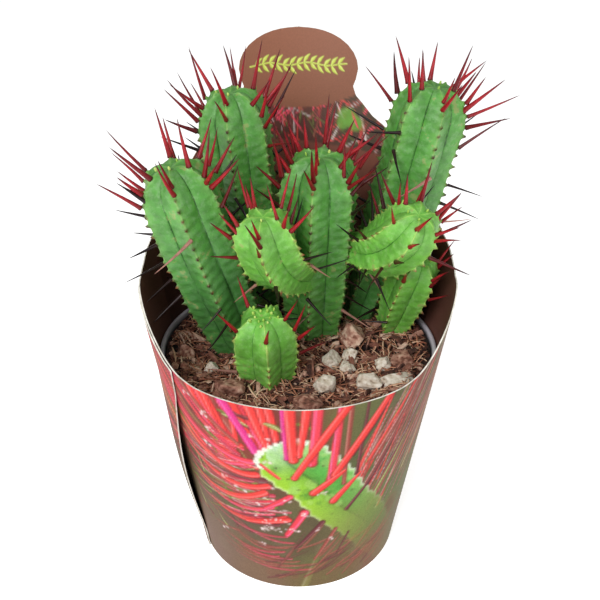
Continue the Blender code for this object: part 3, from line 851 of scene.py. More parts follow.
@dataclass
class Canvas:
    """A flat picture in millimetres, painted in layers and then read at the card's vertices."""

    left: float
    right: float
    low: float
    high: float
    step: float
    x: Array = field(init=False)
    z: Array = field(init=False)
    colour: Array = field(init=False)

    def __post_init__(self) -> None:
        """Lays out blank cells."""
        self.x = np.arange(self.left, self.right, self.step)
        self.z = np.arange(self.low, self.high, self.step)
        self.colour = np.zeros((len(self.z), len(self.x), 3))

    def wash(self, spots: tuple[tuple[float, float, str], ...], spread: float) -> None:
        """Fills the canvas with colours that flow from spot to spot.

        Args:
            spots: Where each colour is purest, in millimetres, and its hex code.
            spread: How far a colour reaches before its neighbours take over, in millimetres.
        """
        total = np.zeros_like(self.colour)
        weight = np.full(total.shape[:2] + (1,), 1e-9)
        for x, z, code in spots:
            near = np.hypot(self.x[None, :] - x, self.z[:, None] - z)[..., None]
            share = 1 / (1 + (near / spread) ** 4)
            total += share * rgb(code)
            weight += share
        self.colour = total / weight

    def window(self, low: Array, high: Array) -> tuple[slice, slice]:
        """Finds the cells between two corners.

        Args:
            low: The lower left corner in millimetres.
            high: The upper right one.

        Returns:
            Their rows and columns.
        """
        i0, i1 = np.searchsorted(self.z, (low[1], high[1]))
        j0, j1 = np.searchsorted(self.x, (low[0], high[0]))
        return slice(i0, i1), slice(j0, j1)

    def blend(self, where: tuple[slice, slice], cover: Array, colours: Array) -> None:
        """Lays colours over a part of the canvas, as strongly as cover says."""
        cover = cover[..., None]
        self.colour[where] = self.colour[where] * (1 - cover) + colours * cover

    def stroke(
        self,
        path: tuple[Place, Place, Place],
        widths: Point,
        ink: Ink,
        strength: float = 1.0,
        blur: float = 0.3,
        fade: float = 1.0,
    ) -> None:
        """Paints one curved, tapered stroke, darker at its rims and glowing along one side.

        Args:
            path: Start, bending point and end, in millimetres.
            widths: Width at the start, halfway and at the end, in millimetres.
            ink: Its colours.
            strength: How much it covers, from 0 to 1.
            blur: Width of its soft outline in millimetres.
            fade: How much of its strength is left at its end.
        """
        share = np.linspace(0, 1, STROKE_CUTS)[:, None]
        start, bend, end = (np.array(point, float) for point in path)
        line = start * (1 - share) ** 2 + bend * 2 * share * (1 - share) + end * share**2
        radii = np.interp(share[:, 0], (0, 0.5, 1), widths) / 2
        margin = max(widths) / 2 + blur
        where = self.window(line.min(0) - margin, line.max(0) + margin)
        x, z = np.meshgrid(self.x[where[1]], self.z[where[0]])
        if not x.size:
            return
        outside = np.full(x.shape, 1e9)
        side, passed = np.zeros(x.shape), np.zeros(x.shape)
        for index, (a, b, ra, rb) in enumerate(zip(line[:-1], line[1:], radii[:-1], radii[1:])):
            reach = b - a
            share = ((x - a[0]) * reach[0] + (z - a[1]) * reach[1]) / max(reach @ reach, 1e-9)
            share = np.clip(share, 0, 1)
            dx, dz = x - a[0] - reach[0] * share, z - a[1] - reach[1] * share
            radius = mix(ra, rb, share)
            over = np.hypot(dx, dz) - radius
            nearer = over < outside
            outside[nearer] = over[nearer]
            turned = np.sign(reach[0] * dz - reach[1] * dx) * np.hypot(dx, dz) / np.maximum(radius, 1e-3)
            side[nearer] = turned[nearer]
            passed[nearer] = (index + share[nearer]) / (STROKE_CUTS - 1)
        dark, body, glow = (rgb(code) for code in ink.value)
        ramps = np.stack([dark, body, body, glow, body, dark], axis=1)
        tones = np.stack([np.interp(side, ACROSS_STROKE, ramp) for ramp in ramps], axis=-1)
        cover = np.clip(0.5 - outside / blur, 0, 1) * strength * mix(1.0, fade, passed)
        self.blend(where, cover, tones)

    def speck(self, x: float, z: float, size: float, code: str, strength: float = 1.0) -> None:
        """Paints one soft round spot.

        Args:
            x: How far across its middle is, in millimetres.
            z: How far up.
            size: Its radius in millimetres.
            code: Its hex colour.
            strength: How much it covers, from 0 to 1.
        """
        reach = np.array([2 * size, 2 * size])
        where = self.window(np.array([x, z]) - reach, np.array([x, z]) + reach)
        near = np.hypot(self.x[where[1]][None, :] - x, self.z[where[0]][:, None] - z)
        cover = strength * ease((size - near) / (0.6 * size) + 0.5)
        self.blend(where, cover, rgb(code))

    def read(self, x: Array, z: Array) -> Array:
        """Reads the picture, smoothed between its cells.

        Args:
            x: How far across each place is, in millimetres.
            z: How far up.

        Returns:
            A linear colour for each place.
        """
        j = np.clip((x - self.left) / self.step, 0, len(self.x) - 1.001)
        i = np.clip((z - self.low) / self.step, 0, len(self.z) - 1.001)
        j0, i0 = j.astype(int), i.astype(int)
        fj, fi = (j - j0)[:, None], (i - i0)[:, None]
        low = mix(self.colour[i0, j0], self.colour[i0, j0 + 1], fj)
        high = mix(self.colour[i0 + 1, j0], self.colour[i0 + 1, j0 + 1], fj)
        return mix(low, high, fi)


@dataclass
class Painting:
    """A picture in seeded strokes. Sizes in millimetres: extent is left, right, foot and top."""

    seed: int = 0
    extent: tuple[float, float, float, float] = (-1.0, 1.0, -1.0, 1.0)
    cell: float = 0.25
    canvas: Canvas = field(init=False)
    draw: np.random.Generator = field(init=False)

    def __post_init__(self) -> None:
        """Sets up the blank canvas and the seeded draws."""
        self.canvas = Canvas(*self.extent, self.cell)
        self.draw = np.random.default_rng(self.seed)

    def between(self, low: float, high: float) -> float:
        """A seeded value between two limits."""
        return float(self.draw.uniform(low, high))

    def chance(self, share: float) -> bool:
        """A seeded yes, in this share of cases."""
        return self.between(0, 1) < share

    def one_of(self, *options: Ink | str) -> Ink | str:
        """A seeded choice."""
        return options[int(self.between(0, len(options)))]


# ---------------- the card sleeve

CARD_TAPER = 0.1531  # how much the card's radius grows for each unit of height
CARD_TO_RIM = 0.45 * MM
ARC_MM = 0.698  # flat millimetres of printed board for each degree round the card


def card_radius(height: Array | float) -> Array | float:
    """Inside radius of the card at a height, where it isn't doubled."""
    return POT_RIM_RADIUS + CARD_TO_RIM + CARD_TAPER * (height - POT_HEIGHT)


@dataclass
class SleevePicture(Painting):
    """A picture of this model's own: one ribbed stem with long coral spines on blurred ground.

    It is laid out flat: across is degrees round the card times ARC_MM, and up is height.
    """

    seed: int = 4
    extent: tuple[float, float, float, float] = (-66.0, 216.0, -1.0, 157.0)
    board_top: float = 84.0  # where strokes that leave the front at its top end
    stem_tip: Place = (-7.0, 63.5)
    stem_heading: Place = (0.62, -0.78)
    stem_half_width: float = 11.0
    scallop: float = 5.3
    join: float = 56.0  # where the picture on the back takes over
    period: float = 125.64
    back_lift: float = 16.0
    plain_from: float = 94.0

    def paint(self) -> Canvas:
        """Paints every layer.

        Returns:
            The finished canvas.
        """
        self.paint_ground()
        self.paint_right_streaks()
        self.paint_upper_left()
        self.paint_left_sweep()
        self.paint_left_crossings()
        self.paint_foot()
        self.paint_stem()
        self.paint_stem_marks()
        self.paint_stem_spines()
        self.paint_glints()
        self.repeat_behind()
        return self.canvas

    def paint_ground(self) -> None:
        """Blurred background: taupe at the foot, olive at the right, wine red under the spines."""
        self.canvas.wash(
            (
                (-58, 20, "#807C68"), (-58, 60, "#838470"), (-60, 80, "#9A7468"), (-40, 6, "#84685A"),
                (-15, 3, "#80644E"), (6, 3, "#75633F"), (20, 6, "#7A6242"), (34, 6, "#86654E"),
                (50, 14, "#7A6E52"), (60, 40, "#7C7356"), (60, 88, "#80785C"), (50, 66, "#6E6A4A"),
                (40, 52, "#68724C"), (36, 70, "#6C5044"), (27, 72, "#5E5A3C"), (22, 62, "#5A6A40"),
                (13, 74, "#6C7A44"), (6, 70, "#6A4634"), (0, 72, "#7E3430"), (-10, 68, "#8C3A34"),
                (-22, 62, "#8A4434"), (-36, 70, "#8E3A34"), (-50, 76, "#8A443E"), (-36, 54, "#6A4034"),
                (-22, 46, "#545830"), (-38, 38, "#705C4C"), (-18, 30, "#645844"), (0, 22, "#5F553A"),
                (-30, 18, "#7C6454"), (28, 30, "#6E7A42"), (40, 32, "#747650"),
            ),
            9.0,
        )
        for _ in range(260):
            x, z = self.between(-66, 64), self.between(0, 96)
            code = self.one_of("#4A3A2C", "#6E7644", "#8E4A40", "#86745E", "#5E6A3C")
            self.canvas.speck(x, z, self.between(1.2, 4.5), code, 0.2)

    def repeat_behind(self) -> None:
        """Prints the same picture on the back, set higher and running out into the head's plain brown."""
        canvas = self.canvas
        columns = canvas.x > self.join
        x, z = np.meshgrid(canvas.x[columns], canvas.z)
        lift = self.back_lift * ease(1 - np.abs(x - self.period) / (self.period / 2))
        source = x - self.period * np.round(x / self.period)
        again = canvas.read(source.ravel(), (z - lift).ravel()).reshape(*x.shape, 3)
        again = mix(again, rgb("#B07C66"), ease((z - self.plain_from) / 16)[..., None])
        front = canvas.colour[:, columns]
        canvas.colour[:, columns] = mix(front, again, ease((x - self.join) / 6)[..., None])

    def paint_right_streaks(self) -> None:
        """Thin spines in twos and threes that rise steeply to the right edge, duller further out."""
        for _ in range(130):
            x = self.between(15, 56)
            z = self.between(26, 60) + 0.25 * (x - 15)
            reach = self.between(14, 40)
            lean = self.between(0.25, 0.55)
            ink = self.one_of(Ink.WINE, Ink.BRICK, Ink.BRICK, Ink.CORAL, Ink.BRICK, Ink.STRAW)
            strength = float(mix(0.95, 0.35, ease((x - 20) / 32)))
            width = self.between(0.4, 1.3) * (1.25 if x < 30 else 0.9)
            end = (x + reach * lean, z + reach)
            path = ((x, z), midway((x, z), end, self.between(-1.5, 0.5)), end)
            self.canvas.stroke(path, (width, width * 0.8, 0.35), ink, strength, 0.4)
            if self.chance(0.4):
                lit = tuple((px - width * 0.3, pz) for px, pz in path)
                self.canvas.stroke(lit, (0.2, 0.35, 0.15), Ink.GLINT, 0.45 * strength, 0.25)

    def paint_upper_left(self) -> None:
        """A mass of bright spines above the stem's tip: broad red bands with dark chinks between."""
        for _ in range(26):
            start = (self.between(-24, -5), self.between(61, 66))
            far = (start[0] - self.between(2, 12), self.board_top)
            width = self.between(1.6, 4.0)
            bend = ((start[0] + far[0]) / 2 + self.between(-1, 1), 74)
            ink = self.one_of(Ink.CORAL, Ink.CORAL, Ink.CORAL, Ink.ROSE, Ink.BRICK)
            self.canvas.stroke((start, bend, far), (width * 0.7, width, width), ink, 1.0, 0.4)
        for _ in range(9):
            x, z = self.between(-22, 0), self.between(64, 75)
            far = (x + self.between(3, 7), z - self.between(1, 3))
            ink = self.one_of(Ink.WINE, Ink.OLIVE, Ink.WINE, Ink.STRAW)
            self.canvas.stroke(((x, z), ((x + far[0]) / 2, z - 0.4), far), (0.8, 1.6, 0.6), ink, 0.9, 0.5)
        top = self.board_top
        self.canvas.stroke(((-11.5, 60.5), (-15, 69), (-22.5, top)), (2.8, 2.6, 3.2), Ink.MAGENTA)
        self.canvas.stroke(((-7.5, 61), (-10, 68), (-13.5, top)), (2.0, 2.4, 3.6), Ink.CORAL)

    def paint_left_sweep(self) -> None:
        """Long spines that sweep from the stem to the left, sagging on the way and fading far out."""
        for _ in range(56):
            share = self.between(0, 1) ** 0.85
            start = (mix(-15, -3, share) + self.between(-6, 1), mix(62, 32, share) + self.between(-4, 4))
            reach = self.between(0.35, 1.05)
            far = (mix(-62, -36, share), mix(86, 33, share**0.7) + self.between(-11, 8))
            far = (mix(start[0], far[0], reach), mix(start[1], far[1], reach))
            sag = mix(8.0, 3.5, share) * self.between(0.0, 1.6) * reach
            if self.chance(0.45):
                ink = self.one_of(Ink.WINE, Ink.OLIVE, Ink.WINE, Ink.STRAW, Ink.WINE, Ink.BRICK)
                width = self.between(0.6, 2.0)
            else:
                low = Ink.CRIMSON if share > 0.35 else Ink.CORAL
                ink = self.one_of(low, Ink.ROSE, Ink.CRIMSON, Ink.BRICK, low)
                width = self.between(0.9, 2.7) * mix(1.0, 0.85, share)
            path = (start, midway(start, far, -2, -sag), far)
            self.canvas.stroke(path, (width, width * 0.9, 0.5), ink, 0.95, 0.35, 0.35)
            if self.chance(0.45):
                lit = tuple((x, z + 0.28 * width) for x, z in path)
                self.canvas.stroke(lit, (0.25, 0.5, 0.15), Ink.GLINT, 0.55, 0.3, 0.1)

    def paint_left_crossings(self) -> None:
        """Thin dull spines across the sweep, steep ones at the upper left, and six long bright ones."""
        for _ in range(46):
            start = (self.between(-42, -12), self.between(22, 58))
            reach, turn = self.between(5, 15), math.radians(self.between(95, 205))
            far = (start[0] + reach * math.cos(turn), start[1] + reach * math.sin(turn))
            bend = midway(start, far, 0.0, -self.between(0, 2))
            ink = self.one_of(Ink.WINE, Ink.BRICK, Ink.STRAW, Ink.CRIMSON, Ink.OLIVE, Ink.WINE)
            width = self.between(0.4, 1.3)
            self.canvas.stroke((start, bend, far), (width, width * 0.8, 0.3), ink, 0.8, 0.4, 0.3)
        for _ in range(38):
            start = (self.between(-34, -16), self.between(54, 64))
            rise = self.between(12, 26)
            far = (start[0] - rise * self.between(0.7, 1.15), start[1] + rise)
            bend = midway(start, far, -1.5, -self.between(1, 4))
            ink = self.one_of(
                Ink.CORAL, Ink.CRIMSON, Ink.ROSE, Ink.BRICK, Ink.WINE, Ink.STRAW, Ink.OLIVE
            )
            width = self.between(0.8, 2.4)
            widths = (width * 0.6, width, width * 0.7)
            self.canvas.stroke((start, bend, far), widths, ink, 0.95, 0.35, 0.8)
        for start, bend, far, width in (
            ((-10, 44), (-24, 34), (-38, 44), 2.4), ((-4, 33.5), (-18, 27), (-31, 33), 2.6),
            ((-8, 38), (-20, 31), (-36, 41), 1.6), ((-12, 51), (-27, 46), (-52, 76), 2.4),
            ((-13, 56), (-28, 54), (-56, 84), 2.2), ((-9, 47), (-24, 40), (-44, 58), 2.2),
        ):
            ink = self.one_of(Ink.CORAL, Ink.ROSE)
            self.canvas.stroke((start, bend, far), (width * 1.1, width * 0.9, 0.5), ink, 1.0, 0.35, 0.5)

    def paint_foot(self) -> None:
        """Dull thin spines near the card's foot, level at the left and rising to the right."""
        for _ in range(15):
            z = self.between(9, 26)
            start = (self.between(-10, 8), z + self.between(-2, 1))
            far = (self.between(-32, -20), z + self.between(0, 5))
            bend = ((start[0] + far[0]) / 2, z - self.between(1, 3))
            ink = self.one_of(Ink.BRICK, Ink.CRIMSON, Ink.BRICK)
            self.canvas.stroke((start, bend, far), (0.8, 1.3, 0.5), ink, 0.8, 0.5, 0.4)
        self.canvas.stroke(((2, -1), (5, 8), (8, 20)), (3.5, 3.0, 1.5), Ink.STRAW, 0.35, 2.0, 0.3)
        for _ in range(40):
            start = (self.between(-14, 30), self.between(3, 20))
            reach, turn = self.between(8, 20), math.radians(self.between(12, 62))
            far = (start[0] + reach * math.cos(turn), start[1] + reach * math.sin(turn))
            ink = self.one_of(Ink.BRICK, Ink.WINE, Ink.BRICK)
            path = (start, midway(start, far, 0.0, -1.0), far)
            self.canvas.stroke(path, (0.7, 1.2, 0.4), ink, 0.75, 0.5, 0.5)

    def stem_point(self, along: float, across: float) -> Place:
        """A place on the pictured stem: millimetres below its tip, and to the upper right of its axis."""
        hx, hz = self.stem_heading
        return self.stem_tip[0] + hx * along - hz * across, self.stem_tip[1] + hz * along + hx * across

    def paint_stem(self) -> None:
        """The ribbed stem: a dark valley line, a lime left face, a green right face, pale scalloped rims."""
        canvas = self.canvas
        x, z = np.meshgrid(canvas.x, canvas.z)
        hx, hz = self.stem_heading
        dx, dz = x - self.stem_tip[0], z - self.stem_tip[1]
        along, across = dx * hx + dz * hz, -dx * hz + dz * hx
        across = across + 0.5 * np.sin(along / 4.2)
        blunt = np.sqrt(np.clip(1 - (1 - np.clip(along / 9, 0, 1)) ** 2, 0, 1))
        scallops = 1 + 0.09 * np.abs(np.sin(along * math.pi / self.scallop))
        scallops = scallops + 0.025 * np.sin(along * 2.3 + across)
        narrowing = np.where(across < 0, 0.86 - 0.004 * along, 1.04 - 0.006 * along)
        half = self.stem_half_width * blunt * scallops * narrowing
        share = across / np.maximum(half, 0.01)
        cover = np.clip((half - np.abs(across)) / 0.4 + 0.5, 0, 1) * (along > 0)
        cover *= 1 - 0.9 * ease((along - 38) / 22)
        places = (-1.0, -0.95, -0.86, -0.45, -0.06, 0.0, 0.05, 0.3, 0.6, 0.86, 0.95, 1.0)
        codes = (
            "#E6EFB8", "#B9DC6A", "#9DCC34", "#93C63A", "#79AE38", "#3E6B24", "#5E9E3A", "#5CAE46",
            "#66B452", "#7CBF5E", "#C4E2A8", "#F0F6E4",
        )
        ramps = np.array([rgb(code) for code in codes]).T
        colours = np.stack([np.interp(share, places, ramp) for ramp in ramps], axis=-1)
        pale = bell(along - 1, 6)[..., None] * 0.7
        colours = mix(colours, rgb("#CDEAC4"), pale * (share > -0.5)[..., None])
        colours = mix(colours, rgb("#86924A"), ease((along - 20) / 26)[..., None] * 0.85)
        canvas.blend(WHOLE, cover, colours)

    def paint_stem_marks(self) -> None:
        """Blotches on the pictured stem's faces, dark scars in two rows and pale dew round its tip."""
        canvas = self.canvas
        for _ in range(60):
            spot = self.stem_point(self.between(2, 34), self.between(-7, 9))
            code = self.one_of("#3E8230", "#94CC62", "#B4D878")
            canvas.speck(*spot, self.between(0.5, 1.8), code, 0.35)
        for row in range(9):
            for side, out in ((-1, 4.6), (1, 6.2)):
                down = 3.0 + self.scallop * row + side
                spot = self.stem_point(down, side * (out + self.between(-0.6, 0.6)))
                canvas.speck(*spot, self.between(0.25, 0.6), "#4A3020", 0.7 * (1 - row / 12))
        for row in range(16):
            turn = math.radians(mix(-115, 95, row / 15))
            spot = self.stem_point(3.8 - 3.8 * math.cos(turn), 8.2 * math.sin(turn))
            canvas.speck(*spot, self.between(0.5, 1.1), "#F4F8EA", 0.85)

    def paint_stem_spines(self) -> None:
        """Stout spines that grow from the pictured stem, each with a dark root and a pink glow."""
        top = self.board_top
        for root, tip, widths, ink in (
            ((-1.5, 58.5), (-2.6, top), (2.8, 3.0, 4.2), Ink.CORAL),
            ((-3.4, 59.0), (-4.0, top), (1.2, 1.0, 1.2), Ink.MAGENTA),
            ((0.6, 60.0), (2.6, top), (1.6, 2.2, 3.0), Ink.CORAL),
            ((3.6, 57.0), (5.0, top), (2.9, 2.7, 2.8), Ink.ROSE),
            ((9.2, 50.0), (10.6, top), (2.6, 2.2, 1.6), Ink.ROSE),
            ((13.6, 47.0), (13.2, top), (1.4, 1.5, 1.4), Ink.BRICK),
            ((17.0, 50.0), (17.6, top), (1.2, 1.1, 0.8), Ink.WINE),
            ((-0.8, 51.0), (15.6, top), (2.0, 2.8, 2.2), Ink.CORAL),
            ((10.2, 51.5), (28.0, 86.0), (2.4, 2.7, 1.6), Ink.CORAL),
            ((4.6, 45.0), (13.2, 52.5), (2.6, 2.5, 1.1), Ink.CORAL),
            ((10.4, 40.5), (18.4, 50.0), (2.5, 2.2, 0.9), Ink.CORAL),
            ((2.2, 36.0), (-3.6, 26.0), (2.8, 2.6, 2.0), Ink.ROSE),
            ((-2.6, 43.5), (-10.4, 37.0), (2.1, 2.2, 1.2), Ink.ROSE),
            ((-10.4, 55.5), (-5.4, 50.8), (0.9, 1.4, 1.1), Ink.CORAL),
            ((7.8, 31.5), (-1.0, 19.5), (1.8, 1.6, 0.7), Ink.WINE),
            ((12.4, 27.0), (5.6, 13.5), (1.4, 1.4, 0.7), Ink.BRICK),
            ((17.0, 24.0), (13.6, 15.0), (0.9, 0.8, 0.4), Ink.WINE),
            ((15.2, 35.5), (24.0, 47.5), (1.5, 1.4, 0.6), Ink.WINE),
            ((-3.0, 33.0), (-17.0, 29.5), (2.2, 2.4, 1.2), Ink.CORAL),
        ):
            root = (root[0] + self.between(-0.3, 0.3), root[1] + self.between(-0.3, 0.3))
            bend = midway(root, tip, self.between(-0.5, 0.5))
            self.canvas.speck(*root, 0.62 * widths[0], "#6A2A1E", 0.9)
            self.canvas.stroke((root, bend, tip), widths, ink, 1.0, 0.3)

    def paint_glints(self) -> None:
        """White glints in loose clusters, as on perlite and dew."""
        for _ in range(34):
            x, z = self.between(-32, 18), self.between(18, 74)
            if self.chance(0.5):
                x, z = self.between(-14, 2), self.between(26, 42)
            for _ in range(int(self.between(2, 6))):
                spot = (x + self.between(-1.4, 1.4), z + self.between(-0.9, 0.9))
                tip = (spot[0] + self.between(-1.2, 1.2), spot[1] + self.between(-0.7, 0.7))
                path = (spot, ((spot[0] + tip[0]) / 2, spot[1] + 0.3), tip)
                strength = self.between(0.3, 0.9)
                self.canvas.stroke(path, (0.3, self.between(0.4, 1.1), 0.2), Ink.GLINT, strength, 0.4)


@dataclass
class InsidePicture(Painting):
    """The print on the inside of the card's tall back: plain brown head, sprig, and a strip below.

    Across is millimetres to the right of the middle, seen from the front; up is height.
    """

    seed: int = 9
    extent: tuple[float, float, float, float] = (-56.0, 56.0, -1.0, 157.0)
    cell: float = 0.2
    head_low: float = 129.6  # the plain head's lower edge, in its middle
    head_bow: float = 3.6
    strip_low: float = 119.0
    strip_slope: float = 0.09
    sprig_height: float = 143.4
    sprig_half: float = 15.5

    def paint(self) -> Canvas:
        """Paints every layer.

        Returns:
            The finished canvas.
        """
        self.canvas.wash(
            (
                (0, 10, "#5E3A30"), (0, 90, "#5E3A30"), (0, 112, "#5A352B"), (-18, 126, "#74362E"),
                (0, 122, "#54302A"), (18, 126, "#504030"), (0, 132, "#683E32"),
            ),
            9.0,
        )
        self.paint_strip()
        self.paint_below_strip()
        self.paint_head()
        self.paint_sprig()
        return self.canvas

    def paint_strip(self) -> None:
        """Short spines every way in red and olive, and some green spots: a strip of the same picture."""
        canvas = self.canvas
        for _ in range(170):
            x, z = self.between(-30, 30), self.between(116, 131)
            turn = math.radians(self.between(25, 155))
            reach = self.between(3, 10)
            end = (x + reach * math.cos(turn), z + reach * math.sin(turn))
            bend = midway((x, z), end, 0.0, self.between(-1, 1))
            ink = self.one_of(
                Ink.BRICK, Ink.CORAL, Ink.ROSE, Ink.OLIVE, Ink.CORAL, Ink.WINE, Ink.GLINT
            )
            canvas.stroke(((x, z), bend, end), (0.7, 0.5, 0.2), ink, self.between(0.4, 0.95), 0.35)
        for x, z, size in ((16.0, 127.5, 2.8), (18.5, 125.5, 2.4), (14.5, 125.0, 1.8), (-14, 126.0, 2.0)):
            canvas.speck(x, z, size, "#6FA63E", 0.85)
        for _ in range(16):
            x, z = self.between(-28, 28), self.between(120, 130)
            end = (x + self.between(-5, 5), z + self.between(2, 5))
            canvas.stroke(((x, z), ((x + end[0]) / 2, z + 2), end), (0.5, 0.8, 0.3), Ink.ROSE)

    def paint_below_strip(self) -> None:
        """The plain band under the printed strip, which rises a little at the left and darkens towards the
        foot as painted shade inside the card.
        """
        x, z = np.meshgrid(self.canvas.x, self.canvas.z)
        edge = self.strip_low - self.strip_slope * x
        # Painted shade: the brown darkens towards the foot, deeper inside the card.
        plain = mix(rgb("#44251C"), rgb("#804A3A"), ease((z - 84) / 34)[..., None])
        self.canvas.blend(WHOLE, np.clip((edge - z) / 0.5 + 0.5, 0, 1), plain)

    def paint_head(self) -> None:
        """The plain brown of the head, down to a bowed edge."""
        x, z = np.meshgrid(self.canvas.x, self.canvas.z)
        edge = self.head_low + self.head_bow * (x / 16) ** 2
        self.canvas.blend(WHOLE, np.clip((z - edge) / 0.3 + 0.5, 0, 1), rgb("#89563F"))

    def paint_sprig(self) -> None:
        """An ornament of this model's own: a wavy sprig with pairs of small leaves."""
        middle, half = self.sprig_height, self.sprig_half
        share = np.linspace(-1, 1, 15)
        stalk = [(half * s, middle + 0.5 * math.sin(2.5 * math.pi * s)) for s in share]
        for a, b in zip(stalk[:-1], stalk[1:]):
            self.canvas.stroke((a, midway(a, b), b), (0.55, 0.55, 0.55), Ink.LEAF, 1.0, 0.25)
        for index, (x, z) in enumerate(stalk[1:-1]):
            for side in (-1, 1):
                reach = 2.6 if index % 2 else 2.1
                tip = (x + 1.5, z + side * reach)
                bend = (x + 0.1, z + side * reach * 0.6)
                self.canvas.stroke(((x - 0.4, z), bend, tip), (0.5, 1.25, 0.3), Ink.LEAF, 1.0, 0.25)


@dataclass
class CardSleeve:
    """A strip of printed carton wound into a cone, with a tall back that ends in a round head.

    Heights and widths are in millimetres. The board is modelled in three panels that meet edge to
    edge: the front with the inner end of the strip, the right half of the back, and the left half
    with the outer end, which laps over the front.
    """

    thickness: float = 0.4
    front_height: float = 77.5
    side_height: float = 94.0
    head_half_width: float = 19.1
    head_half_height: float = 12.0
    neck_half_width: float = 17.6
    neck_below_head: float = 5.5
    inner_end: float = -83.0
    outer_end: Place = (-64.0, -51.0)  # at the foot and at lap_top
    lap_top: float = 80.0
    lap_step: float = 0.75
    lap_stretch: float = 50.0
    lap_spring: float = 2.0  # how far the free end bows off the card under it
    lap_shut: Place = (8.0, 70.0)  # heights at which it lies flat again
    # Faces across and up each panel: about one for each cell of print, and under 200,000 triangles.
    front_faces: tuple[int, int] = (258, 188)
    right_faces: tuple[int, int] = (145, 318)
    left_faces: tuple[int, int] = (150, 306)
    rows_to_neck: int = 210
    # painted shade: a flat dark brown over the inside of the front and sides
    shaded_inside: str = "#5E3A30"
    print_outside: Canvas | None = None
    print_inside: Canvas | None = None

    def back_outline(self) -> Array:
        """Draws the back's edge from the side to the top of the head.

        Returns:
            Half-widths and heights, one row each.
        """
        middle = CARD_HIGH / MM - self.head_half_height
        neck = middle - self.neck_below_head
        side = card_radius(self.side_height * MM) / MM
        steps = (
            (1.04, 0.0), (0.999, 0.04), (0.986, 0.105), (0.956, 0.158), (0.918, 0.233), (0.899, 0.28),
            (0.757, 0.5), (0.594, 0.744), (0.515, 0.80), (0.452, 0.877), (0.400, 0.935),
        )
        edge = [(side * x, mix(self.side_height, neck, up)) for x, up in steps]
        edge.append((self.neck_half_width, neck))
        for degrees in (-16, 0, 12, 24, 36, 48, 58, 67, 75, 82, 87, 90):
            angle = math.radians(degrees)
            across = self.head_half_width * max(0.0, math.cos(angle)) ** 0.9
            edge.append((across, middle + self.head_half_height * math.sin(angle)))
        return np.array(edge)

    def front_outline(self) -> Array:
        """Draws the front's edge from the middle to the side.

        Returns:
            Half-widths and heights, one row each.
        """
        side = card_radius(self.side_height * MM) / MM
        steps = (
            (0.0, 0.0), (0.61, 0.0), (0.718, 0.055), (0.795, 0.212), (0.869, 0.455), (0.929, 0.67),
            (0.965, 0.82), (0.986, 0.96), (1.0, 1.0),
        )
        return np.array([(side * x, mix(self.front_height, self.side_height, up)) for x, up in steps])

    def angles_of(self, outline: Array) -> Array:
        """Turns an outline's half-widths into angles round the card."""
        sines = np.clip(outline[:, 0] / (card_radius(outline[:, 1] * MM) / MM), 0, 1)
        return np.degrees(np.arcsin(sines))

    def front_top(self, degrees: Array) -> Array:
        """Finds the height of the front's edge, with its corners rounded.

        Args:
            degrees: Angles of up to 90 degrees from the front.

        Returns:
            Heights in millimetres.
        """
        outline = self.front_outline()
        known, places = self.angles_of(outline), np.abs(degrees)
        spread = (-1.5, -0.75, 0.0, 0.75, 1.5)
        return sum(np.interp(places + offset, known, outline[:, 1]) for offset in spread) / len(spread)

    def back_half_angle(self, height: Array) -> Array:
        """Finds how far the back reaches to each side of its middle."""
        outline = self.back_outline()
        return np.interp(height, outline[:, 1], self.angles_of(outline))

    def back_heights(self, up: Array) -> Array:
        """Spaces the back's rows: evenly up to the neck, then closer towards the head's top.

        Args:
            up: Shares of the panel's rows.

        Returns:
            Heights in millimetres.
        """
        middle = CARD_HIGH / MM - self.head_half_height
        body = np.linspace(0, middle - self.neck_below_head, self.rows_to_neck, endpoint=False)
        start = math.asin(-self.neck_below_head / self.head_half_height)
        around = np.linspace(start, math.pi / 2, self.rows_to_neck // 2)
        heights = np.concatenate([body, middle + self.head_half_height * np.sin(around)])
        return np.interp(up, np.linspace(0, 1, len(heights)), heights)

    def place(self, degrees: Array, height: Array, lift: Array | float = 0.0) -> Array:
        """Finds points on the inside of the card.

        Args:
            degrees: Angles round the card.
            height: Heights in millimetres.
            lift: How far the board stands off its own cone, in millimetres.

        Returns:
            The points in metres, one row each.
        """
        radius = card_radius(height * MM) + lift * MM
        angle = np.radians(degrees)
        return np.stack([radius * np.sin(angle), -radius * np.cos(angle), height * MM], axis=1)

    def print_panel(self, obj: Object, degrees: Array, height: Array) -> None:
        """Prints a panel on both sides, gives it its thickness and tells its faces apart.

        Args:
            obj: The panel's single sheet, facing outwards.
            degrees: Each vertex's angle round the card.
            height: Each vertex's height in millimetres.
        """
        give_colour(obj, "print", self.print_outside.read(degrees * ARC_MM, height))
        inside = self.print_inside.read(points_of(obj)[:, 0] / MM, height)
        # Inside the front and sides, a flat dark brown stands for the shade there.
        in_front = (np.cos(np.radians(degrees)) > -0.3)[:, None]
        give_colour(obj, "inside", np.where(in_front, rgb(self.shaded_inside), inside))
        board = obj.modifiers.new("board", "SOLIDIFY")
        board.thickness = self.thickness * MM
        board.offset = 1.0
        apply_modifiers(obj)
        for finish in (PRINT, INSIDE, CUT):
            obj.data.materials.append(finish.build())
        normals = np.empty(len(obj.data.polygons) * 3)
        centres = np.empty(len(obj.data.polygons) * 3)
        obj.data.polygons.foreach_get("normal", normals)
        obj.data.polygons.foreach_get("center", centres)
        outward = unit(centres.reshape(-1, 3) * (1, 1, 0))
        facing = (normals.reshape(-1, 3) * outward).sum(axis=1)
        kinds = np.where(facing > 0.6, 0, np.where(facing < -0.6, 1, 2))
        obj.data.polygons.foreach_set("material_index", kinds.astype(np.int32))
        select_only(obj)
        bpy.ops.object.shade_smooth_by_angle(angle=math.radians(40))

    def build_front(self) -> Object:
        """Builds the front panel, with the strip's inner end under the lap.

        Returns:
            The panel.
        """
        obj, across, up = add_sheet("card_front", *self.front_faces)
        degrees = mix(self.inner_end, 90.0, across)
        height = up * self.front_top(degrees)
        place_points(obj, self.place(degrees, height))
        self.print_panel(obj, degrees, height)
        return obj

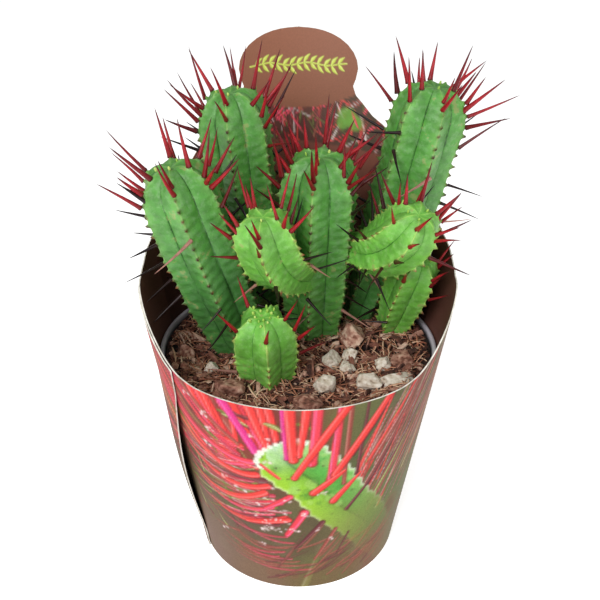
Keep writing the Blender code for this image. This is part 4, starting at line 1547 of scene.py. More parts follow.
    def build_back_right(self) -> Object:
        """Builds the right half of the back, up to the head's middle line.

        Returns:
            The panel.
        """
        obj, across, up = add_sheet("card_back_right", *self.right_faces)
        height = self.back_heights(up)
        degrees = mix(180 - self.back_half_angle(height), 180.0, across)
        place_points(obj, self.place(degrees, height))
        self.print_panel(obj, degrees, height)
        return obj

    def build_back_left(self) -> Object:
        """Builds the left half of the back, and the strip's outer end, sprung a little off the front.

        Returns:
            The panel.
        """
        obj, across, up = add_sheet("card_back_left", *self.left_faces)
        height = self.back_heights(up)
        free_end = 360 + mix(self.outer_end[0], self.outer_end[1], height / self.lap_top)
        known = np.linspace(-90, self.outer_end[1], 60)
        tops = self.front_top(known)
        on_front = 360 + np.interp(-height, -tops, known)
        side = np.where(height < tops[0], np.minimum(free_end, on_front), 180 + self.back_half_angle(height))
        degrees = mix(180.0, side, across)
        lap = ease((degrees - (360 + self.outer_end[1]) + self.lap_stretch) / self.lap_stretch)
        low, high = self.lap_shut
        bow = np.sin(math.pi * np.clip((height - low) / (high - low), 0, 1))
        spring = ease((degrees - 270) / 35) * bow
        place_points(obj, self.place(degrees, height, self.lap_step * lap + self.lap_spring * spring))
        self.print_panel(obj, degrees, height)
        return obj

    def build(self) -> None:
        """Paints and builds the whole sleeve."""
        self.print_outside = SleevePicture().paint()
        self.print_inside = InsidePicture().paint()
        front, *back = self.build_front(), self.build_back_right(), self.build_back_left()
        finish_piece(front, PRINT.build(), "card", "card_sleeve")
        for panel in back:
            finish_piece(panel, PRINT.build(), "card")


# ---------------- the nursery pot


@dataclass
class NurseryPot:
    """A thin dark pot with a rolled rim and six drain holes. Sizes in millimetres."""

    foot_radius: float = 29.5
    rim_lip: float = 0.9
    rim_depth: float = 5.0
    rim_roll: float = 0.7
    wall: float = 0.6
    floor: float = 1.2
    drain_count: int = 6
    drain_radius: float = 3.2
    drain_circle: float = 19.0
    drain_depth: float = 8.0
    steps: int = 160

    def profile(self) -> Array:
        """Draws the section from the middle of the foot, up outside, over the rim and down inside.

        Returns:
            Radii and heights, one row each.
        """
        top, rim, roll = POT_HEIGHT / MM, POT_RIM_RADIUS / MM, self.rim_roll
        foot, inner_floor = self.foot_radius, self.floor + 1.0
        wall_top = rim - self.rim_lip
        skirt = rim - CARD_TAPER * self.rim_depth
        under_rim = top - self.rim_depth
        at_skirt = mix(foot, wall_top, under_rim / top)
        round_lip = np.linspace(1.4, -1.2, 9)
        lip = [(rim - roll + roll * math.sin(a), top - roll + roll * math.cos(a)) for a in round_lip]
        return np.array([
            (0, 1.0), (foot - 5, 1.0), (foot - 3.5, 0.2), (foot - 0.8, 0), (foot, 0.8),
            (at_skirt, under_rim + 0.4), (skirt - 0.5, under_rim), (skirt, under_rim + 0.4), *lip,
            (wall_top - self.wall, top - 1.8), (foot - self.wall, inner_floor + 0.4),
            (foot - 3, inner_floor), (0, inner_floor),
        ])

    def cut_drain(self, obj: Object, number: int) -> None:
        """Cuts one drain hole.

        Args:
            obj: The pot's shell.
            number: Which hole of the circle it is.
        """
        angle = TURN * number / self.drain_count
        circle = self.drain_circle * MM
        deselect()
        bpy.ops.mesh.primitive_cylinder_add(
            vertices=32, radius=self.drain_radius * MM, depth=self.drain_depth * MM,
            location=(circle * math.cos(angle), circle * math.sin(angle), 1.5 * MM),
        )
        cutter = take_primitive("drain_cutter")
        cut = obj.modifiers.new("drain", "BOOLEAN")
        cut.object = cutter
        cut.operation = "DIFFERENCE"
        apply_modifiers(obj)
        remove_helper(cutter)

    def build(self) -> None:
        """Turns the profile and cuts the drain holes."""
        profile = self.profile()
        obj, across, up = add_sheet("pot_shell", self.steps, len(profile) - 1)
        row = up * (len(profile) - 1)
        radius, height = (np.interp(row, np.arange(len(profile)), column) * MM for column in profile.T)
        angle = across * TURN
        place_points(obj, np.stack([radius * np.sin(angle), -radius * np.cos(angle), height], axis=1))
        close_up(obj, 35)
        for number in range(self.drain_count):
            self.cut_drain(obj, number)
        finish_piece(obj, BLACK_POT.build(), "pot", "nursery_pot")


# ---------------- the growing mix


@dataclass
class GrowingMix:
    """Coir and peat: a rough plug, loose fibres, chips and crumbs on it. Sizes in millimetres."""

    top: float = 67.0
    low: float = 2.6
    roughness: float = 0.7
    mound: float = 2.4
    mound_place: Place = (27.0, 7.83)
    mound_radius: float = 20.0
    bank: float = 3.0  # how far it is heaped up against the pot
    radius: float = 40.5
    low_radius: float = 28.2
    top_share: float = 0.9  # how much of the plug's rows are on its top
    side_share: float = 0.6  # how much of the rest are on its side
    lump: float = 1.1
    loose_radius: float = 39.3  # nothing that lies loose reaches further out
    fibre_radius: float = 39.8
    fibre_count: int = 1900
    chip_count: int = 760
    crumb_count: int = 1300
    seed: int = 21

    def level(self, x: Array, y: Array) -> Array:
        """Finds the height of the mix.

        Args:
            x: Places to the right, in metres.
            y: Places to the back.

        Returns:
            Heights in metres.
        """
        x, y = x / MM, y / MM
        waves = np.sin(x / 9 + 1.3) * np.cos(y / 7) + 0.6 * np.sin((x - 2 * y) / 6)
        heap = ease(1.0 - np.hypot(x - self.mound_place[0], y - self.mound_place[1]) / self.mound_radius)
        out = np.hypot(x, y) / self.radius
        edge = 1.0 - ease((out - 0.8) / 0.2)
        bank = self.bank * ease((out - 0.75) / 0.2)
        return (self.top + (self.roughness * waves + self.mound * heap) * edge + bank) * MM

    def build_plug(self) -> None:
        """The plug that fills the pot, with a lumpy top."""
        obj, across, up = add_sheet("mix_plug", 260, 150)
        on_top = np.clip(up / self.top_share, 0, 1)
        below = np.clip((up - self.top_share) / (1 - self.top_share), 0, 1)
        drop = np.clip(below / self.side_share, 0, 1)
        radius = self.radius * MM * on_top
        radius = np.where(below > 0, mix(self.radius, self.low_radius, drop) * MM, radius)
        under = self.low_radius * MM * (1 - below) / (1 - self.side_share)
        radius = np.where(below > self.side_share, under, radius)
        angle = across * TURN
        x, y = radius * np.cos(angle), radius * np.sin(angle)
        flat = np.stack([x, y, np.zeros_like(x)], axis=1)
        lumps = rough_field(flat, 3.2 * MM, 1) + 0.5 * rough_field(flat, 1.3 * MM, 2)
        height = self.level(x, y) + self.lump * MM * lumps * ease((1 - on_top) / 0.05)
        height = np.where(below > 0, mix((self.top + self.bank) * MM, self.low * MM, drop), height)
        place_points(obj, np.stack([x, y, height], axis=1))
        give_number(obj, "tone", 0.4 + 0.4 * lumps)
        close_up(obj, 60)
        finish_piece(obj, MIX.build(), "soil", "soil")

    def scatter(self, count: int, reach: float, draw: np.random.Generator) -> tuple[Array, Array]:
        """Picks even places on the top of the mix.

        Args:
            count: How many.
            reach: How far from the middle, in millimetres.
            draw: Where the seeded values come from.

        Returns:
            Their x and y in metres.
        """
        radius = reach * MM * np.sqrt(draw.uniform(0, 1, count))
        angle = draw.uniform(0, TURN, count)
        return radius * np.cos(angle), radius * np.sin(angle)

    def build_fibres(self) -> None:
        """Loose coir fibres lying in curves on the mix."""
        draw = np.random.default_rng(self.seed)
        count = self.fibre_count
        x, y = self.scatter(count, self.loose_radius - 0.3, draw)
        turn = draw.uniform(0, TURN, count)
        reach = draw.uniform(1.5, 6.0, count) * MM * draw.uniform(0.6, 1.0, count)
        swerve = draw.normal(0, 0.3, count) * reach
        lines = []
        for step, aside, lift in ((-1, 0, (-0.1, 0.9)), (0, 1, (0.5, 2.6)), (1, 0, (-0.1, 1.9))):
            px = x + np.cos(turn) * reach * step - np.sin(turn) * swerve * aside
            py = y + np.sin(turn) * reach * step + np.cos(turn) * swerve * aside
            out = np.maximum(np.hypot(px, py) / (self.fibre_radius * MM), 1.0)
            px, py = px / out, py / out
            lines.append(np.stack([px, py, self.level(px, py) + draw.uniform(*lift, count) * MM], axis=1))
        shape = thread_shape("fibre_shape", 3, (0.14, 0.32, 0.5, 0.68, 0.86), fibre_profile)
        widths = draw.uniform(0.3, 0.6, count) ** 2 * MM
        obj, _, index = Copies(shape, *lines, widths).gather("mix_fibres")
        give_number(obj, "tone", draw.uniform(0.05, 1.0, count)[index])
        finish_piece(obj, FIBRE.build(), "soil")

    def build_crumbs(self) -> None:
        """Crumbs of peat and bark, each a small turned and flattened lump."""
        draw = np.random.default_rng(self.seed + 1)
        count = self.crumb_count
        x, y = self.scatter(count, self.loose_radius, draw)
        size = draw.uniform(0.4, 1.0, count) ** 2 * 2.1 * MM
        base = np.stack([x, y, self.level(x, y) - 0.2 * size], axis=1)
        tilt = unit(draw.normal(0, 1, (count, 3)) + np.array([0, 0, 0.6]))
        shape = add_pebble("crumb_shape", 1)
        points = points_of(shape) * (1.0, 0.75, 0.5)
        place_points(shape, points * (1 + 0.25 * rough_field(points, 0.9, 5)[:, None]) + (0, 0, 0.5))
        end = base + tilt * size[:, None] * 1.3
        obj, _, index = Copies(shape, base, (base + end) / 2, end, size * 0.8).gather("mix_crumbs")
        give_number(obj, "tone", draw.uniform(0.1, 1.0, count)[index])
        obj.data.shade_flat()
        finish_piece(obj, CRUMB.build(), "soil")

    def build_chips(self) -> None:
        """Splinters of bark and husk lying every way: half of them flat, half on edge."""
        draw = np.random.default_rng(self.seed + 2)
        count = self.chip_count // 2
        for number, flatness in enumerate(((1.0, 0.3, 1.0), (0.35, 1.0, 1.0)), 1):
            x, y = self.scatter(count, self.loose_radius - 1.3, draw)
            turn = draw.uniform(0, TURN, count)
            reach = draw.uniform(1.4, 7.0, count) * MM * draw.uniform(0.5, 1.0, count)
            width = np.minimum(draw.uniform(0.4, 1.3, count) * MM, 0.4 * reach)
            rise = draw.normal(0.05, 0.28, count) * reach
            far = np.stack([x + np.cos(turn) * reach, y + np.sin(turn) * reach], axis=1)
            far /= np.maximum(np.linalg.norm(far, axis=1) / (self.loose_radius * MM), 1.0)[:, None]
            lift = draw.uniform(0.2, 1.1, count) * MM
            start = np.stack([x, y, self.level(x, y) + lift], axis=1)
            end = np.stack([far[:, 0], far[:, 1], self.level(far[:, 0], far[:, 1]) + lift + rise], axis=1)
            bend = (start + end) / 2 + draw.normal(0, 0.08, (count, 3)) * reach[:, None]
            shape = thread_shape("chip_shape", 5, (0.03, 0.35, 0.7, 0.97), chip_profile)
            place_points(shape, points_of(shape) * flatness)
            obj, _, index = Copies(shape, start, bend, end, width).gather(f"mix_chips_{number}")
            obj.data.shade_flat()
            give_number(obj, "tone", draw.uniform(0.0, 1.0, count)[index])
            finish_piece(obj, BARK.build(), "soil")

    def build(self) -> None:
        """Builds the plug and what lies on it."""
        self.build_plug()
        self.build_chips()
        self.build_fibres()
        self.build_crumbs()


def fibre_profile(height: Array) -> Array:
    """A fibre's radius, in widths: full for most of its length, and closing at both ends."""
    return np.sqrt(np.sin(np.clip(height * 0.96 + 0.03, 0, 1) * math.pi))


def chip_profile(height: Array) -> Array:
    """A splinter's radius, in widths: fullest in its middle and blunt at both ends."""
    return mix(0.6, 1.0, np.sin(height * 2.6))


@dataclass
class Stone:
    """One loose lump on the mix, with flat broken faces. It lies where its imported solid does."""

    node: str
    material: Mottled
    slot: str
    seed: int
    tone: float = 0.55
    growth: float = 1.45  # its size in its packed box's
    lift: float = 1.0  # millimetres
    break_count: int = 15

    def build(self) -> None:
        """Breaks flat faces off a ball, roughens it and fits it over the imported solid."""
        low, high = (np.array(corner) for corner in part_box(self.node))
        obj = add_pebble(f"{self.node}_lump", 5)
        around = points_of(obj)
        lumps = rough_field(around, 0.95, self.seed)
        knobs = rough_field(around, 0.42, self.seed + 40)
        pits = np.clip(rough_field(around, 0.24, self.seed + 80), 0, 1)
        draw = np.random.default_rng(self.seed + 200)
        breaks = unit(draw.normal(0, 1, (self.break_count, 3)))
        depths = draw.uniform(0.62, 0.95, self.break_count)
        reach = (depths / np.maximum(around @ breaks.T, 0.05)).min(axis=1)
        reach = np.minimum(reach, 1.15) + 0.1 * lumps + 0.05 * knobs - 0.05 * pits
        body = around * reach[:, None]
        body = (body - body.min(0)) / (body.max(0) - body.min(0)) - 0.5
        middle = (low + high) / 2 + np.array([0, 0, self.lift * MM])
        place_points(obj, middle + body * (high - low) * self.growth)
        give_number(obj, "tone", self.tone + 0.35 * knobs - 0.45 * pits)
        close_up(obj, 60)
        finish_piece(obj, self.material.build(), self.slot, self.node)


# ---------------- the stems

VIEWER = np.array([0.0, -0.87, 0.49])
VALLEYS = {5: 0.70, 6: 0.76}  # how deep the valleys reach, in radii, by the number of ribs
DOME_SHARE = 0.24  # of the skin's rows
DOME_POWER = 2.6  # blunter than a ball, whose power is 2
MIX_TOP = 68.0  # no spine reaches lower


@dataclass
class SpineHabit:
    """How one kind of stem is armed. Lengths in millimetres, shares from 0 to 1."""

    dense_to: float  # below the tip, down to where every tooth has a spine
    kept: float  # how many of every other tooth's spines are left further down
    double_to: float  # down to where spines also stand between the teeth
    fresh_to: float  # down to where they are new
    stoutness: float


MATURE_SPINES = SpineHabit(10.0, 0.9, 6.0, 3.5, 1.0)
YOUNG_SPINES = SpineHabit(5.5, 0.6, 3.5, 5.0, 0.85)


@dataclass
class Spine:
    """One spine as a curve. Places in millimetres. Its age is 0 when new, 1 when old, more when dry."""

    start: Array
    bend: Array
    end: Array
    width: float
    age: float


@dataclass
class Stem:
    """One ribbed stem with its spines and leaf buds. Lengths in millimetres, angles in degrees.

    phase is the angle of the first rib from the front. A branch starts inside its parent.
    """

    name: str
    foot: Point
    reach: Point
    radius: float
    foot_radius: float
    ribs: int
    phase: float
    seed: int
    bow: Point = (0.0, 0.0, 0.0)
    young: bool = False
    bud_count: int = 3
    spine_length: float = 14.5
    fullest: float = 0.62
    foot_shade: float = 0.8  # how strongly painted shade darkens its foot
    tooth_step: float = 3.1
    tooth_height: float = 1.0
    columns: int = 16  # faces across one rib
    row_height: float = 0.42
    buried: float = 6.0

    def __post_init__(self) -> None:
        """Works out what follows from the sizes, and starts the seeded draws."""
        self.length = float(np.linalg.norm(self.reach))
        self.dome_start = 1 - 1.15 * self.radius / self.length
        self.valley = VALLEYS[self.ribs]
        self.slot = "young_stem" if self.young else "stem"
        self.habit = YOUNG_SPINES if self.young else MATURE_SPINES
        self.draw = np.random.default_rng(self.seed * 101)

    def centre(self, share: Array) -> Array:
        """Finds points of the middle line.

        Args:
            share: How far from foot to tip each one is.

        Returns:
            The points in millimetres, one row each.
        """
        share = np.atleast_1d(share)[:, None]
        bent = np.clip(share, 0, 1)
        straight = np.array(self.foot) + np.array(self.reach) * share
        return straight + np.array(self.bow) * 4 * bent * (1 - bent)

    def axes(self, share: Array) -> tuple[Array, Array, Array]:
        """Finds directions at points of the middle line.

        Args:
            share: How far from foot to tip each one is.

        Returns:
            Along the stem, to its front and to its side.
        """
        share = np.clip(np.atleast_1d(share), 0, 1)
        along = unit(self.centre(share + 0.01) - self.centre(share - 0.01))
        front = np.array([0.0, -1.0, 0.0])
        front = unit(front - along * (along @ front)[:, None])
        return along, front, np.cross(along, front)

    def within_dome(self, share: Array) -> Array:
        """How far up the domed tip each point is, from 0 at its start to 1 at the top."""
        return (share - self.dome_start) / (1 - self.dome_start)

    def girth(self, share: Array) -> Array:
        """Finds the radius at the ribs' edges: full above the middle, domed at the tip.

        Args:
            share: How far from foot to tip each place is.

        Returns:
            Radii in millimetres.
        """
        share = np.atleast_1d(share)
        swell = mix(self.foot_radius, self.radius, ease((share + 0.08) / self.fullest) ** 0.8)
        within = np.clip(self.within_dome(share), 0, 1)
        return swell * np.sqrt(np.clip(1 - within**DOME_POWER, 0, 1))

    def tooth_offset(self, rib: Array) -> Array:
        """How far the teeth of a rib are shifted, in steps."""
        return np.mod(rib * 0.5 + self.seed * 0.37 + 0.08 * np.sin(rib * 2.3), 1.0)

    def rib_section(self, off_edge: Array) -> Array:
        """Draws the section from a rib's edge to its valley: a flat face with a creased end.

        Args:
            off_edge: 0 on a rib's edge, 1 in the valley.

        Returns:
            The radius, as a share of the radius at the edge.
        """
        half = math.pi / self.ribs
        flat = self.valley * math.sin(half)
        slope = 1 - self.valley * math.cos(half)
        level = flat / (np.sin(off_edge * half) * slope + flat * np.cos(off_edge * half))
        return level + 0.012 * np.sin(math.pi * off_edge) - 0.022 * bell(1 - off_edge, 0.06)

    def skin(self, share: Array, turn: Array) -> tuple[Array, Array, Array]:
        """Points of the skin.

        Args:
            share: How far along the stem each point lies.
            turn: Its angle from the first rib, in ribs.

        Returns:
            The points in millimetres, how near each is to a rib's edge, and how far it is a tooth.
        """
        rib = np.mod(np.round(turn), self.ribs)
        off_edge = 2 * np.abs(turn - np.round(turn))
        down = (1 - share) * self.length
        # Teeth: uneven in spacing and height, and none at the tip or under the mix.
        phase = down / self.tooth_step + self.tooth_offset(rib)
        number = np.floor(phase) + 7 * rib
        off_tooth = np.mod(phase, 1) - 0.5 + 0.09 * np.sin(number * 2.7 + self.seed) + 0.06
        keen = 0.95 + 0.3 * np.sin(number * 4.1 + self.seed * 1.7)
        tooth = bell(off_tooth, 0.15) * bell(off_edge, 0.1)
        fade = ease(down / 1.2) * ease(share / 0.1)
        # The faces swell and sink a little, and crease between neighbouring teeth.
        wander = 0.014 * np.sin(down / 5.3 + rib * 1.9 + self.seed) + 0.01 * np.sin(down / 2.9 - rib * 2.7)
        creased = 0.012 * np.cos(phase * TURN) * ease(off_edge * 3) * (1 - off_edge) * 2
        radius = self.girth(share) * (self.rib_section(off_edge) + wander + creased)
        radius = radius - 0.35 * bell(off_edge, 0.12) * (1 - tooth) * fade
        angle = np.radians(self.phase) + TURN * turn / self.ribs
        along, front, side = self.axes(share)
        out = front * np.cos(angle)[:, None] + side * np.sin(angle)[:, None]
        # Over the dome the teeth lean to the tip, and the middle of the tip is sunk.
        over = ease(self.within_dome(share)) ** 2
        height = tooth * keen * self.tooth_height * mix(1.0, 1.35, over) * fade
        raised = out * (height * (1 - 0.8 * over))[:, None] + along * (height * (0.35 + 0.65 * over))[:, None]
        sunk = along * (-1.5 * bell(radius, 0.3 * self.radius) * over)[:, None]
        place = self.centre(share) + out * np.maximum(radius, 0)[:, None] + raised + sunk
        lobes = 0.06 * np.cos(off_tooth * TURN) * off_edge * (1 - off_edge) * 4
        return place, 1 - off_edge + lobes, tooth * fade

    def rows(self, up: Array) -> Array:
        """Spaces the skin's rows: evenly up the body, then by the dome's own angle.

        Args:
            up: Shares of the skin's rows.

        Returns:
            Shares of the stem's length.
        """
        low = -self.buried / self.length
        body = low + (self.dome_start - low) * up / (1 - DOME_SHARE)
        angle = np.clip((up - (1 - DOME_SHARE)) / DOME_SHARE, 0, 1) * math.pi / 2
        dome = mix(self.dome_start, 1.0, np.sin(angle) ** (2 / DOME_POWER))
        return np.where(up < 1 - DOME_SHARE, body, dome)

    def build_body(self) -> None:
        """The ribbed skin, closed at its tip and at its buried foot."""
        rows = round((self.length + self.buried) / self.row_height)
        obj, across, up = add_sheet(f"{self.name}_body", self.ribs * self.columns, rows)
        turn = across * self.ribs
        part = turn - np.floor(turn)
        # Columns crowd at the ribs' edges and in the valleys.
        turn = np.floor(turn) + part - 0.8 * np.sin(2 * TURN * part) / (2 * TURN)
        share = self.rows(up)
        points, crest, tooth = self.skin(share, turn)
        middle = self.centre(share)
        foot = up < 0.5 / rows
        points[foot] = middle[foot]
        dents = 1 + 0.010 * rough_field(points * MM, 5 * MM, self.seed)
        dents = dents + 0.005 * rough_field(points * MM, 1.6 * MM, self.seed + 9)
        down = (1 - share) * self.length
        cork = np.clip((down - 3.5) / 5, 0, 0.92)  # green at the tip, brown some millimetres below it
        place_points(obj, (middle + (points - middle) * dents[:, None]) * MM)
        give_number(obj, "crest", crest)
        give_number(obj, "tooth", ease((tooth - 0.22) / 0.35) * ease(cork))
        # The depth below the tip, scaled for each stem, sets the painted shade towards the foot.
        give_number(obj, "down", down * self.foot_shade)
        close_up(obj, 75)
        skin = YOUNG_SKIN if self.young else MATURE_SKIN
        finish_piece(obj, skin.build(), self.slot, self.name)

    def spine_roots(self) -> list[tuple[int, float]]:
        """Chooses which teeth bear a spine.

        Returns:
            For each spine, its rib and how many millimetres it is below the tip.
        """
        roots = []
        for rib in range(self.ribs):
            offset = float(self.tooth_offset(np.array(rib)))
            for tooth in range(int(self.length / self.tooth_step)):
                down = (tooth + 0.42 - offset) * self.tooth_step
                if down < 0.8 or 1 - down / self.length < 0.1:
                    continue
                dense = down < self.habit.dense_to
                if dense or (tooth + rib) % 2 == 0 and self.draw.uniform() < self.habit.kept:
                    roots.append((rib, down))
                if down < self.habit.double_to and self.draw.uniform() < 0.6:
                    roots.append((rib, down + 0.5 * self.tooth_step))
        return roots

    def clear(self, start: Array, end: Array, others: list["Stem"]) -> bool:
        """Tests whether a straight spine stays out of the other stems, the mix and the card.

        Args:
            start: Where it starts, in millimetres.
            end: Where it ends.
            others: Every stem. This one is passed over.

        Returns:
            True if it does.
        """
        share = np.linspace(0.15, 1, 8)[:, None]
        places = start * (1 - share) + end * share
        if (places[:, 2] < MIX_TOP).any():
            return False
        around = np.hypot(places[:, 0], places[:, 1])
        half = np.degrees(np.arctan2(np.abs(places[:, 0]), np.abs(places[:, 1])))
        in_back = half < SLEEVE.back_half_angle(places[:, 2])
        in_front = SLEEVE.front_top(half) > places[:, 2]
        by_card = np.where(places[:, 1] > 0, in_back, in_front)
        if (by_card & (around > card_radius(places[:, 2] * MM) / MM - 0.8)).any():
            return False
        line = np.linspace(0, 0.97, 30)
        for other in others:
            if other is self:
                continue
            apart = np.linalg.norm(places[:, None, :] - other.centre(line)[None], axis=2)
            if (apart < other.girth(line)[None] * 0.86).any():
                return False
        return True

    def grow_spine(self, rib: int, down: float, others: list["Stem"]) -> Spine | None:
        """Grows one spine: upright and crimson by the tip, level and nearly black lower down.

        On a rib that faces the viewer, spines are few, droop and lie to the side.

        Args:
            rib: Its rib.
            down: How far its root is below the tip, in millimetres.
            others: Every stem, to keep clear of.

        Returns:
            The spine, or None where it is missing or would run into something.
        """
        share = np.array([1 - down / self.length])
        root, _, _ = self.skin(share, np.array([float(rib)]))
        along, front, side = (axis[0] for axis in self.axes(share))
        angle = math.radians(self.phase) + TURN * rib / self.ribs
        out = front * math.cos(angle) + side * math.sin(angle)
        facing = float(out @ VIEWER) > 0.6 and down > 6
        if facing and (down < 13 or self.draw.uniform() < 0.45):
            return None
        age = min(1.0, down / 34)
        lean = math.radians(mix(8, 94, age**0.7) + self.draw.normal(0, 9))
        swing = math.radians(self.draw.normal(0, 14))
        if facing:
            swing = math.copysign(math.radians(self.draw.uniform(30, 70)), swing)
            lean = math.radians(self.draw.uniform(95, 128))
        swung = out * math.cos(swing) + np.cross(along, out) * math.sin(swing)
        heading = along * math.cos(lean) + swung * math.sin(lean)
        length = self.spine_length * mix(1.0, 0.92, age) * self.draw.uniform(0.65, 1.15)
        curve = self.draw.normal(0, 0.02, 3) * length
        start = root[0] - heading * 0.6
        end = start + heading * length
        if not self.clear(start, end, others):
            return None
        width = self.draw.uniform(0.62, 0.86) * mix(1.0, 0.62, age) * self.habit.stoutness
        dry = self.draw.uniform(1.5, 2.0) if down > 14 and self.draw.uniform() < 0.14 else 0.0
        wear = (down - self.habit.fresh_to) / 12 + self.draw.normal(0, 0.3) + (0.6 if facing else 0.0)
        return Spine(start, (start + end) / 2 + curve, end, width, max(dry, np.clip(wear, 0, 1)))

    def build_spines(self, others: list["Stem"]) -> None:
        """Builds the spines as one piece.

        Args:
            others: Every stem, to keep clear of.
        """
        grown = [self.grow_spine(rib, down, others) for rib, down in self.spine_roots()]
        spines = [spine for spine in grown if spine]
        shape = thread_shape("spine_shape", 8, (0.02, 0.06, 0.12, 0.4, 0.7, 0.9), spine_profile)
        starts, bends, ends, widths = (
            np.array([getattr(spine, part) for spine in spines]) * MM
            for part in ("start", "bend", "end", "width")
        )
        obj, tipward, index = Copies(shape, starts, bends, ends, widths).gather(f"{self.name}_spines")
        give_number(obj, "along", tipward)
        give_number(obj, "age", np.array([spine.age for spine in spines])[index])
        finish_piece(obj, HORN.build(), self.slot)

    def build_buds(self) -> None:
        """The cluster of tiny leaf buds where the ribs meet at the tip."""
        shape = add_pebble("bud_shape", 2)
        place_points(shape, points_of(shape) * (1, 1, 0.5) + (0, 0, 0.5))
        count = self.bud_count
        turn = np.arange(count) * 2.4
        down = 0.2 + 1.2 * (np.arange(count) / count) ** 1.3
        root, _, _ = self.skin(1 - down / self.length, turn * self.ribs / TURN)
        along, _, _ = self.axes(np.full(count, 0.99))
        outward = unit(root - self.centre(np.full(count, 1 - 4 / self.length)))
        height = self.draw.uniform(0.7, 1.4, count)[:, None]
        end = root + unit(along + 0.5 * outward) * height
        width = self.draw.uniform(0.26, 0.46, count)
        root = root - along * 0.4
        copies = Copies(shape, root * MM, (root + end) / 2 * MM, end * MM, width * MM)
        obj, _, index = copies.gather(f"{self.name}_buds")
        give_number(obj, "tone", self.draw.uniform(0.4, 0.9, count)[index])
        finish_piece(obj, BUD.build(), "young_stem")

    def build(self, others: list["Stem"]) -> None:
        """Builds the skin, the buds and the spines.

        Args:
            others: Every stem, for the spines to keep clear of.
        """
        self.build_body()
        self.build_buds()
        self.build_spines(others)


def spine_profile(height: Array) -> Array:
    """A spine's radius, in widths: a slightly swollen root, then an even taper to a fine point."""
    return mix(1.0, 0.1, height**1.1) + 0.16 * bell(height, 0.05)


# ---------------- studio


@dataclass
class Studio:
    """White paper, soft lights and the camera. Sizes in metres."""

    camera_place: Point = (0.0005, -0.22156, 0.20888)
    camera_down: float = 0.507  # radians below level
    lens: float = 50.51
    sensor: float = 36.0
    paper_size: float = 6.0
    world_strength: float = 0.44

    def build(self) -> None:
        """Builds all of it."""
        self.build_paper()
        self.build_light("key_light", (-0.42, -0.78, 0.7), 0.55, 9.8)
        self.build_light("fill_light", (0.6, -0.35, 0.5), 0.8, 1.8)
        self.build_world()
        self.build_camera()
        bpy.context.scene.view_settings.view_transform = "Standard"

    def build_paper(self) -> None:
        """The floor under the card."""
        deselect()
        bpy.ops.mesh.primitive_plane_add(size=self.paper_size, location=(0, 0, -0.1 * MM))
        floor = take_primitive("studio_floor")
        floor.data.materials.append(PAPER.build())

    def build_light(self, name: str, place: Point, size: float, power: float) -> None:
        """A square soft light aimed at the middle of the plant.

        Args:
            name: The light's name.
            place: Where it hangs.
            size: Length of its side.
            power: Its power in watts.
        """
        deselect()
        bpy.ops.object.light_add(type="AREA", location=place)
        light = bpy.context.active_object
        light.name = name
        light.data.size = size
        light.data.energy = power
        aim = Vector((0.0, 0.0, 0.08)) - Vector(place)
        light.rotation_euler = aim.to_track_quat("-Z", "Y").to_euler()

    def build_world(self) -> None:
        """Even white light from all round."""
        world = bpy.data.worlds.new("studio_world")
        bpy.context.scene.world = world
        world.use_nodes = True
        sky = world.node_tree.nodes["Background"]
        sky.inputs["Color"].default_value = linear_colour("#FFFFFF")
        sky.inputs["Strength"].default_value = self.world_strength

    def build_camera(self) -> None:
        """The camera, above and in front."""
        deselect()
        rotation = (math.pi / 2 - self.camera_down, 0.0, 0.0)
        bpy.ops.object.camera_add(location=self.camera_place, rotation=rotation)
        camera = bpy.context.active_object
        camera.name = "view_camera"
        camera.data.lens = self.lens
        camera.data.sensor_width = self.sensor
        bpy.context.scene.camera = camera


# ---------------- the whole object

SLEEVE = CardSleeve()


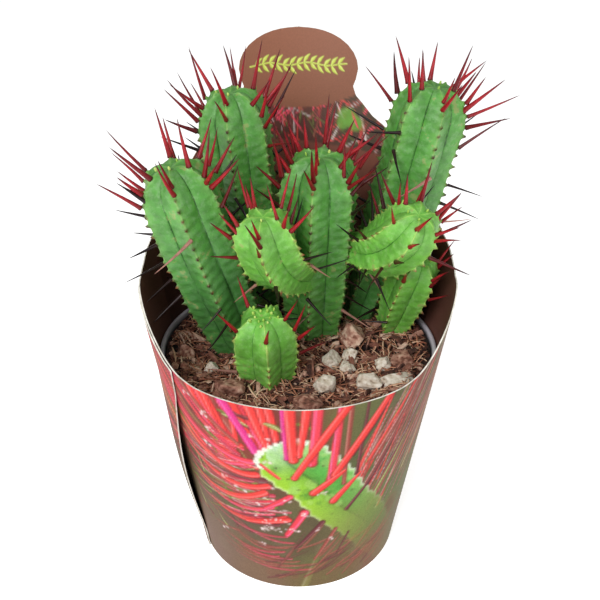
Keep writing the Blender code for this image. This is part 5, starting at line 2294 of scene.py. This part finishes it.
def all_stems() -> list[Stem]:
    """Describes the plant.

    Returns:
        The six rooted stems and the two branches of the middle one.
    """
    return [
        Stem(
            "stem_left", (-16.98, 5.99, 67.0), (-18.0, -11.0, 64.0), 11.8, 9.6, 6, 5, 1,
            bow=(-1.0, -0.5, 0.0), foot_shade=1.5,
        ),
        Stem(
            "stem_back_left", (-14.01, 25.51, 67.0), (-5.8, -7.5, 78.0), 11.3, 8.6, 6, -6, 2,
            bow=(0.5, 1.0, 0.0),
        ),
        Stem(
            "stem_centre", (5.01, 16.0, 67.0), (1.2, -11.0, 63.5), 12.3, 9.8, 6, -11, 3,
            bow=(0.0, 0.5, 0.0), foot_shade=0.45,
        ),
        Stem(
            "stem_back_right", (20.5, 23.0, 67.0), (18.5, -8.0, 80.5), 11.0, 6.2, 6, 12, 4,
            bow=(1.6, 0.0, 0.0),
        ),
        Stem(
            "stem_low_right", (29.5, 12.48, 67.0), (7.5, -9.0, 31.0), 7.9, 4.8, 5, -36, 5,
            young=True, spine_length=11.0,
        ),
        Stem(
            "stem_front", (-9.31, -11.5, 67.0), (-0.7, -5.5, 24.0), 9.8, 8.2, 5, 7, 6,
            young=True, spine_length=12.0, fullest=0.4, bud_count=15,
        ),
        Stem(
            "branch_left", (2.06, 5.01, 91.0), (-11.6, -21.0, 30.0), 9.5, 4.4, 5, -8, 7,
            bow=(-2.5, -2.5, -3.0), young=True, spine_length=12.0, fullest=0.6,
        ),
        Stem(
            "branch_right", (17.0, 9.0, 97.99), (16.0, -22.0, 22.0), 9.3, 5.2, 6, -5, 8,
            bow=(2.0, -1.5, -3.0), young=True, spine_length=12.0, fullest=0.55,
        ),
    ]


def all_stones() -> list[Stone]:
    """Describes the loose lumps.

    Returns:
        Eight pumice stones and five lumps of bark.
    """
    pumice = [Stone(f"pumice_{number}", PUMICE, "pumice", number) for number in range(1, 9)]
    bark = [Stone(f"bark_{number}", BARK, "bark", 20 + number) for number in range(1, 5)]
    return [*pumice, *bark, Stone("bark_nugget", BARK, "bark", 30, 0.8)]


def main() -> None:
    """Builds every piece in order."""
    logging.basicConfig(level=logging.INFO)
    Studio().build()
    SLEEVE.build()
    NurseryPot().build()
    GrowingMix().build()
    for stone in all_stones():
        stone.build()
    stems = all_stems()
    for stem in stems:
        stem.build(stems)


if __name__ == "__main__":
    main()
